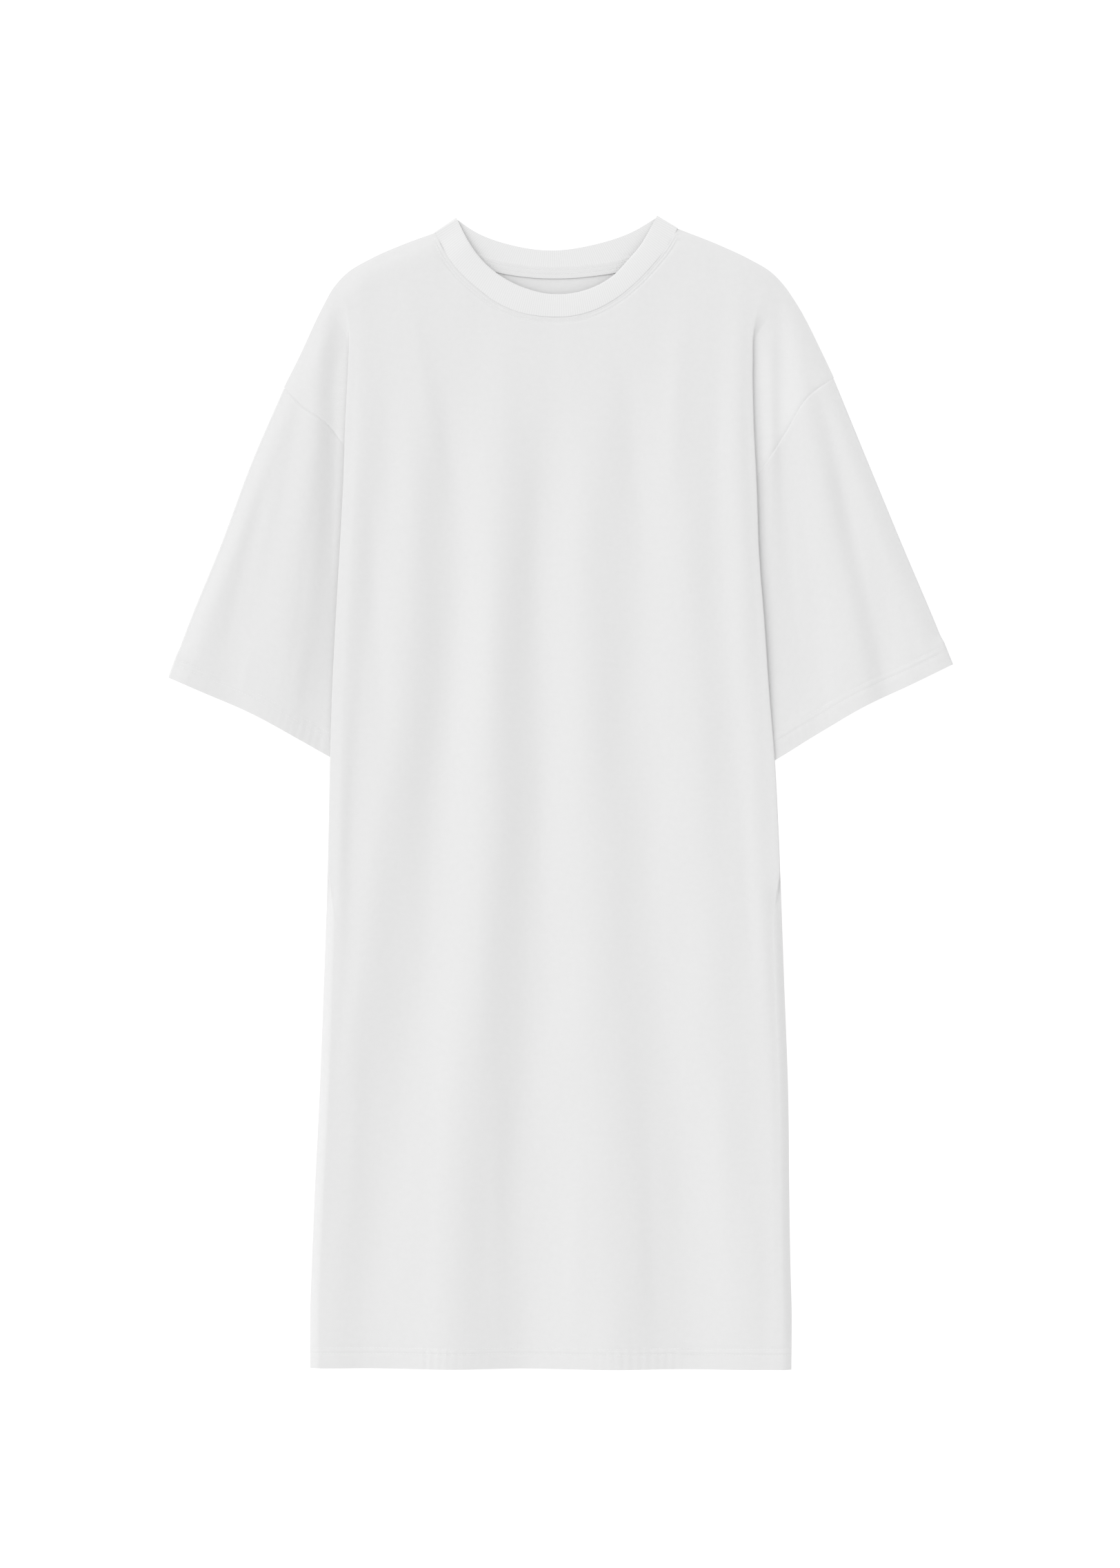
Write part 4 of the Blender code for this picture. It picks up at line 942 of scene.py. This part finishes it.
# Shallow hollows in the face that the dress rests on: start, end, width, depth
BACK_CREASES = (
    ((-140, 430), (-70, 250), 10.0, 0.7), ((-60, 380), (-20, 60), 14.0, 0.6),
    ((40, 440), (90, 220), 11.0, 0.7), ((120, 300), (150, 20), 12.0, 0.8),
    ((-170, 120), (-150, -200), 12.0, 0.8), ((-30, -40), (-60, -360), 15.0, 0.6),
    ((70, -90), (60, -420), 13.0, 0.8), ((180, -60), (190, -380), 10.0, 0.6),
    ((-190, -250), (-200, -520), 11.0, 0.7), ((-110, -300), (-130, -540), 9.0, 0.5),
    ((130, -330), (150, -540), 10.0, 0.6), ((0, -380), (-10, -545), 9.0, 0.5),
)


def back_grid(shares):
    """A patch between shoulders and neck, hem, and the two seams. It is flat, but for
    shallow hollows at the creases and along the rows of sewing."""
    sides = [seam_line("left", shares), seam_line("right", shares)]
    neck = inward(path(NECK_SEAM_BACK, np.linspace(0, 1, 60)), False, 0.5 * SEAM_GAP)
    run = np.linspace(1, 0, 15)[:-1]
    right, left = path(SHOULDER["right"], run), path(SHOULDER["left"], run)
    right[0], left[0] = sides[1][0], sides[0][0]
    top = np.concatenate([right, neck, left[::-1]])[::-1]
    step = np.concatenate([[0], np.cumsum(np.hypot(*np.diff(top, axis=0).T))])
    u = step / step[-1]
    bottom = sides[0][-1] + (sides[1][-1] - sides[0][-1]) * u[:, None]
    plan = patch(top, bottom, *sides, u, shares)
    x, y = plan[..., 0], plan[..., 1]
    z = creased(x, y, BACK_CREASES)
    off_neck = distance(path(NECK_SEAM_BACK, np.linspace(0, 1, 60)), x, y)
    for off, rows in ((y - hem_y(x), HEM_ROWS), (off_neck, NECK_ROWS)):
        z = z + groove(off, rows, ROW_DIP, HEM_ROW_WIDTH)
    return np.concatenate([plan, z[..., None]], axis=2)


back_shares = rows_of(26, 70)
back_points = back_grid(back_shares)
back_plies = hem_plies(back_shares, body_length)
back = cloth_mesh("back_panel", back_points, back_plies, WALL, jersey, upright=True)
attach(back, "root")
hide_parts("back")

hem_lines = [hem_line(back_points, row) for row in HEM_ROWS]
for line in hem_lines:
    line[:, 2] = ROW_DIP
neck_lines = []
for row in NECK_ROWS:
    plan = inward(path(NECK_SEAM_BACK, SEWN_SHARE), False, row)
    neck_lines.append(np.column_stack([plan, np.full(len(plan), ROW_DIP)]))
back_sewing = [stitches("back_hem_stitches", hem_lines, -1),
               stitches("back_neck_stitches", neck_lines, -1)]


# Sleeves
# Each is one piece of jersey folded round the arm: its upper layer lies over its lower one,
# joined along the underarm. It is sewn into the armhole, and hemmed at the cuff.
SLEEVE_LENGTH = 300.0  # about its longest, which turns the rows' distances into shares
SEAM_ROWS = (0.0, 0.4, 0.8, 1.2, 1.7, 2.3, 3.2)  # rows beside the armhole seam
# Share by which its first column lies inside the outline, to leave room for the turn there,
# and the share of its width over which that runs out
SLEEVE_INSET, SLEEVE_INSET_REACH = 0.0135, 0.15


def sleeve_grid(side, along, rows):
    """A tube: a patch between armhole, cuff, outer edge and underarm for each layer,
    joined by half circles round the outer edge and the underarm."""
    top, hem = np.array(SEAM_ROWS) / SLEEVE_LENGTH, 1 - np.array(HEM_LEVELS) / SLEEVE_LENGTH
    v = np.concatenate([top, np.linspace(top[-1], hem[0], rows)[1:-1], hem])
    u = np.linspace(0, 1, along)
    u = u + SLEEVE_INSET * np.clip(1 - u / SLEEVE_INSET_REACH, 0, 1)
    start = inward(path(ARMHOLE[side], u), side == "left", 0.5 * SEAM_GAP)
    cuff = path(CUFF[side], u)
    outer = path(SLEEVE_OUTER[side], v)
    under = start[-1] + (cuff[-1] - start[-1]) * v[:, None]
    outer += (start[0] - outer[0]) * (1 - v[:, None]) + (cuff[0] - outer[-1]) * v[:, None]
    plan = patch(start, cuff, outer, under, u, v)
    outward = {}
    for edge, beside in ((0, 3), (-1, -4)):
        run = np.gradient(plan[:, edge], axis=0)
        normal = np.stack([-run[:, 1], run[:, 0]], axis=1)
        normal *= np.sign(np.sum(normal * (plan[:, edge] - plan[:, beside]), axis=1))[:, None]
        outward[edge] = normal / np.linalg.norm(normal, axis=1)[:, None]
    x, y = plan[:, -1, 0], plan[:, -1, 1]
    inset = 0.5 * arm_height(side, x, y) + SEAM_GAP
    near = np.linspace(0, 1, along) ** 6
    plan = plan - outward[-1][:, None] * inset[:, None, None] * near[None, :, None]
    x, y = plan[..., 0], plan[..., 1]
    upper = np.stack([x, y, arm_face(side, x, y)], axis=2)
    off = distance(path(CUFF[side], np.linspace(0, 1, 30)), x, y)
    lower = np.stack([x, y, groove(off, HEM_ROWS, ROW_DIP, HEM_ROW_WIDTH)], axis=2)
    rings = [upper]
    for edge in (-1, 0):
        radius = 0.5 * upper[:, edge, 2:]
        angles = np.linspace(0.5 * np.pi, -0.5 * np.pi, 9)[1:-1]
        turn = [np.concatenate([upper[:, edge, :2] + outward[edge] * radius * np.cos(s),
                                radius * (1 + np.sin(s))], axis=1) for s in angles]
        rings.append(np.stack(turn if edge == -1 else turn[::-1], axis=1))
        if edge == -1:
            rings.append(lower[:, ::-1])
    grid = np.concatenate(rings, axis=1)
    return (grid[:, ::-1] if side == "left" else grid), hem_plies(v, SLEEVE_LENGTH)


for side in SIGN:
    sleeve_points, sleeve_plies = sleeve_grid(side, 84, 110)
    sleeve = cloth_mesh(side + "_sleeve_cloth", sleeve_points, sleeve_plies, WALL, jersey,
                        closed_columns=True)
    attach(sleeve, "root")
    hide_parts(side + "_sleeve")
    upper_lines, lower_lines = [], []
    for row in HEM_ROWS:
        plan = inward(path(CUFF[side], np.linspace(0.02, 0.98, 200)), side == "right", row)
        upper_lines.append(np.column_stack([plan, arm_face(side, plan[:, 0], plan[:, 1])]))
        lower_lines.append(np.column_stack([plan, np.full(len(plan), ROW_DIP)]))
    cuff_sewing = [stitches(side + "_cuff_stitches_upper", upper_lines, 1),
                   stitches(side + "_cuff_stitches_lower", lower_lines, -1)]


# Neckband
# A strip of 1x1 rib, folded double and sewn round the neck with its fold upwards. Its front
# arc lies over its back arc, and it turns over at the two points beside the neck.
BAND_WALL = 1.8
BAND_TIP_TOP = 4.9  # height at its two tips
BAND_TIP_SHARE = 0.12  # share of its length over which it comes down to each
BAND_TIP_LEAST = 0.3  # how far a tip turns out at the seam, for 1 at the fold
# How far the face drops at the fold, the share across where that begins, and the rest
BAND_FOLD_DROP, BAND_FOLD_START, BAND_FOLD_SHARE = 0.7, 0.94, 0.06
BAND_CROWN = 0.5  # how far the band's middle stands over its edges
NECK_FREE_FRONT = (
    (-100.9, 559.6), (-91.1, 540.1), (-80.2, 523.9), (-67.6, 511.1), (-38.8, 494.0),
    (-2.7, 486.4), (33.3, 494.0), (51.1, 504.7), (65.8, 520.1), (76.6, 532.7),
    (92.9, 561.3),
)
NECK_FREE_BACK = (
    (-100.9, 559.6), (-84.1, 548.2), (-47.1, 534.7), (-8.7, 529.7), (29.6, 534.7),
    (70.7, 548.2), (92.9, 561.3),
)
# The rib's colour, and a darker painted shade for its grooves
RIB_WHITE, RIB_GROOVE_PAINTED_SHADE = "#EBEBEB", "#E4E4E4"
RIB_PITCH = 0.0021  # one rib and one groove


def rib_material():
    """Ribs across the band, in its own UV: a rounded wave along its length, with painted shade
    darkening the grooves, and fine stitches along each rib."""
    look, tree, shader = plain_material("white_cotton_rib", RIB_WHITE, 0.92)
    for name, value in COTTON_LOOK.items():
        shader.inputs[name].default_value = value
    cloth = node(tree, "ShaderNodeUVMap", uv_map="cloth").outputs[0]
    apart = node(tree, "ShaderNodeSeparateXYZ", {0: cloth})
    ribs = node(tree, "ShaderNodeMath", {0: apart.outputs[1], 1: 2 * np.pi / RIB_PITCH},
                operation="MULTIPLY")
    wave = node(tree, "ShaderNodeMath", {0: ribs.outputs[0]}, operation="SINE")
    height = node(tree, "ShaderNodeMath", {0: wave.outputs[0], 1: 0.5, 2: 0.5},
                  operation="MULTIPLY_ADD")
    rounded = node(tree, "ShaderNodeMath", {0: height.outputs[0], 1: 0.6}, operation="POWER")
    loops = node(tree, "ShaderNodeMath", {0: apart.outputs[0], 1: 2 * np.pi / COURSE},
                 operation="MULTIPLY")
    loop = node(tree, "ShaderNodeMath", {0: loops.outputs[0]}, operation="SINE")
    relief = node(tree, "ShaderNodeMath", {0: loop.outputs[0], 1: 0.12, 2: rounded.outputs[0]},
                  operation="MULTIPLY_ADD")
    # Painted shade: the colour darkens where the ribs' relief is low, in the grooves
    tone = node(tree, "ShaderNodeMix", {0: rounded.outputs[0], 6: linear(RIB_GROOVE_PAINTED_SHADE),
                                        7: linear(RIB_WHITE)}, data_type="RGBA")
    tree.links.new(tone.outputs[2], shader.inputs["Base Color"])
    bump = node(tree, "ShaderNodeBump", {"Height": relief.outputs[0], "Strength": 0.5,
                                         "Distance": 0.00015})
    tree.links.new(bump.outputs[0], shader.inputs["Normal"])
    return look


def band_arc(seam, free, share, across_share, lying):
    """Half of the band: straight lines from the seam to the free edge. Lying over the front
    it has the front's height, let down to its tips. It is crowned, and rounded at its fold."""
    low = inward(path(seam, share), lying, 0.5 * SEAM_GAP)
    plan = low[:, None] + (path(free, share) - low)[:, None] * across_share
    x, y = plan[..., 0], plan[..., 1]
    if not lying:
        return np.concatenate([plan, np.zeros(x.shape + (1,))], axis=2)
    ends = ease(np.minimum(share, 1 - share) / BAND_TIP_SHARE)[:, None]
    z = BAND_TIP_TOP + (front_height(x, y) - BAND_TIP_TOP) * np.minimum(edge_rise(x, y), ends)
    f = across_share[..., 0]
    crown = BAND_CROWN * (np.sin(np.pi * f) ** 0.7) + 0.5 * unevenness(x, y)
    past = np.clip((f - BAND_FOLD_START) / BAND_FOLD_SHARE, 0, 1)
    fold = BAND_FOLD_DROP * (1 - np.sqrt(1 - past**2))
    z = np.maximum(z, BAND_TIP_TOP) + (crown - fold) * ends
    return np.stack([x, y, z], axis=2)


def band_grid(along, across_steps):
    """The band as a closed ring: front arc, a half circle over one neck point, back arc, and
    a half circle over the other."""
    f = np.linspace(0, 1, across_steps + 1)[None, :, None]
    front_arc = band_arc(NECK_SEAM_FRONT, NECK_FREE_FRONT, np.linspace(0, 1, along), f, True)
    back_arc = band_arc(NECK_SEAM_BACK, NECK_FREE_BACK, np.linspace(1, 0, along), f, False)
    tips = []
    for top in (front_arc[-1], front_arc[0]):
        run = top[-1, :2] - top[0, :2]
        outward = np.array([-run[1], run[0]]) / np.hypot(*run)
        outward *= np.sign(outward[1])
        radius = 0.5 * top[:, 2]
        out = radius * (BAND_TIP_LEAST + (1 - BAND_TIP_LEAST) * np.linspace(0, 1, len(top)))
        angles = np.linspace(0.5 * np.pi, -0.5 * np.pi, 12)[1:-1]
        tips.append(np.stack([
            np.concatenate([top[:, :2] + outward * (out * np.cos(s))[:, None],
                            (radius * (1 + np.sin(s)))[:, None]], axis=1) for s in angles]))
    return np.concatenate([front_arc, tips[0], back_arc, tips[1][::-1]])


band = cloth_mesh("neckband_rib", band_grid(180, 24), np.full((1, 1), 2.0), 0.5 * BAND_WALL,
                  rib_material(), closed_rows=True)
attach(band, "root")
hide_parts("neckband")


# Back neck tape
# A narrow cotton twill tape laid over the back neck seam on the inside, and sewn along both
# of its edges.
TAPE_WIDTH, TAPE_WALL = 11.2, 0.4
TAPE_BARE = 0.09  # share of the seam left bare at each end
TAPE_OVER = 1.6  # how far its upper edge lies over the band
TAPE_TOP, TAPE_CROWN = 2.2, 0.1
TAPE_ROWS = (0.9, 4.9)  # its sewing, below the back neck seam
TAPE_ROW_DIP, TAPE_ROW_WIDTH = 0.15, 0.7
# The tape's colour, and a darker painted shade for the low lines of its twill
TAPE_WHITE, TAPE_PAINTED_SHADE = "#ECECEC", "#E0E0E0"
TWILL_PITCH = 0.0011  # the real twill's 0.5 mm, coarsened so that its lines still show


def twill_material():
    """Twill in the tape's own UV: a rounded wave on the slant, along the length plus across,
    with painted shade darkening its low lines.
    """
    look, tree, shader = plain_material("white_cotton_twill", TAPE_WHITE, 0.85)
    cloth = node(tree, "ShaderNodeUVMap", uv_map="cloth").outputs[0]
    apart = node(tree, "ShaderNodeSeparateXYZ", {0: cloth})
    slant = node(tree, "ShaderNodeMath", {0: apart.outputs[0], 1: apart.outputs[1]},
                 operation="ADD")
    lines = node(tree, "ShaderNodeMath", {0: slant.outputs[0], 1: 2 * np.pi / TWILL_PITCH},
                 operation="MULTIPLY")
    wave = node(tree, "ShaderNodeMath", {0: lines.outputs[0]}, operation="SINE")
    height = node(tree, "ShaderNodeMath", {0: wave.outputs[0], 1: 0.5, 2: 0.5},
                  operation="MULTIPLY_ADD")
    # Painted shade: the colour darkens where the twill's relief is low
    tone = node(tree, "ShaderNodeMix", {0: height.outputs[0], 6: linear(TAPE_PAINTED_SHADE),
                                        7: linear(TAPE_WHITE)}, data_type="RGBA")
    tree.links.new(tone.outputs[2], shader.inputs["Base Color"])
    bump = node(tree, "ShaderNodeBump", {"Height": height.outputs[0], "Strength": 0.6,
                                         "Distance": 0.00015})
    tree.links.new(bump.outputs[0], shader.inputs["Normal"])
    return look


tape_share = np.linspace(TAPE_BARE, 1 - TAPE_BARE, 120)
tape_depth = np.linspace(TAPE_WIDTH, 0, 15) - TAPE_OVER
tape_plan = np.stack([inward(path(NECK_SEAM_BACK, tape_share), False, by) for by in tape_depth], 1)
tape_rows = groove(tape_depth, TAPE_ROWS, TAPE_ROW_DIP, TAPE_ROW_WIDTH)
tape_f = np.linspace(-1, 1, len(tape_depth))
tape_top = TAPE_TOP + TAPE_CROWN * (1 - tape_f**8) - tape_rows
tape_points = np.concatenate([
    tape_plan, np.broadcast_to(tape_top[None, :, None], tape_plan.shape[:2] + (1,))], axis=2)
tape = cloth_mesh("neck_tape_twill", tape_points, np.full((1, 1), 2.0), 0.5 * TAPE_WALL,
                  twill_material())
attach(tape, "root")
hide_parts("neck_tape")

tape_lines = []
for row in TAPE_ROWS:
    plan = inward(path(NECK_SEAM_BACK, np.linspace(TAPE_BARE + 0.01, 0.99 - TAPE_BARE, 240)),
                  False, row)
    tape_lines.append(np.column_stack([plan, np.full(len(plan), TAPE_TOP)]))
stitches("neck_tape_stitches", tape_lines, 1)
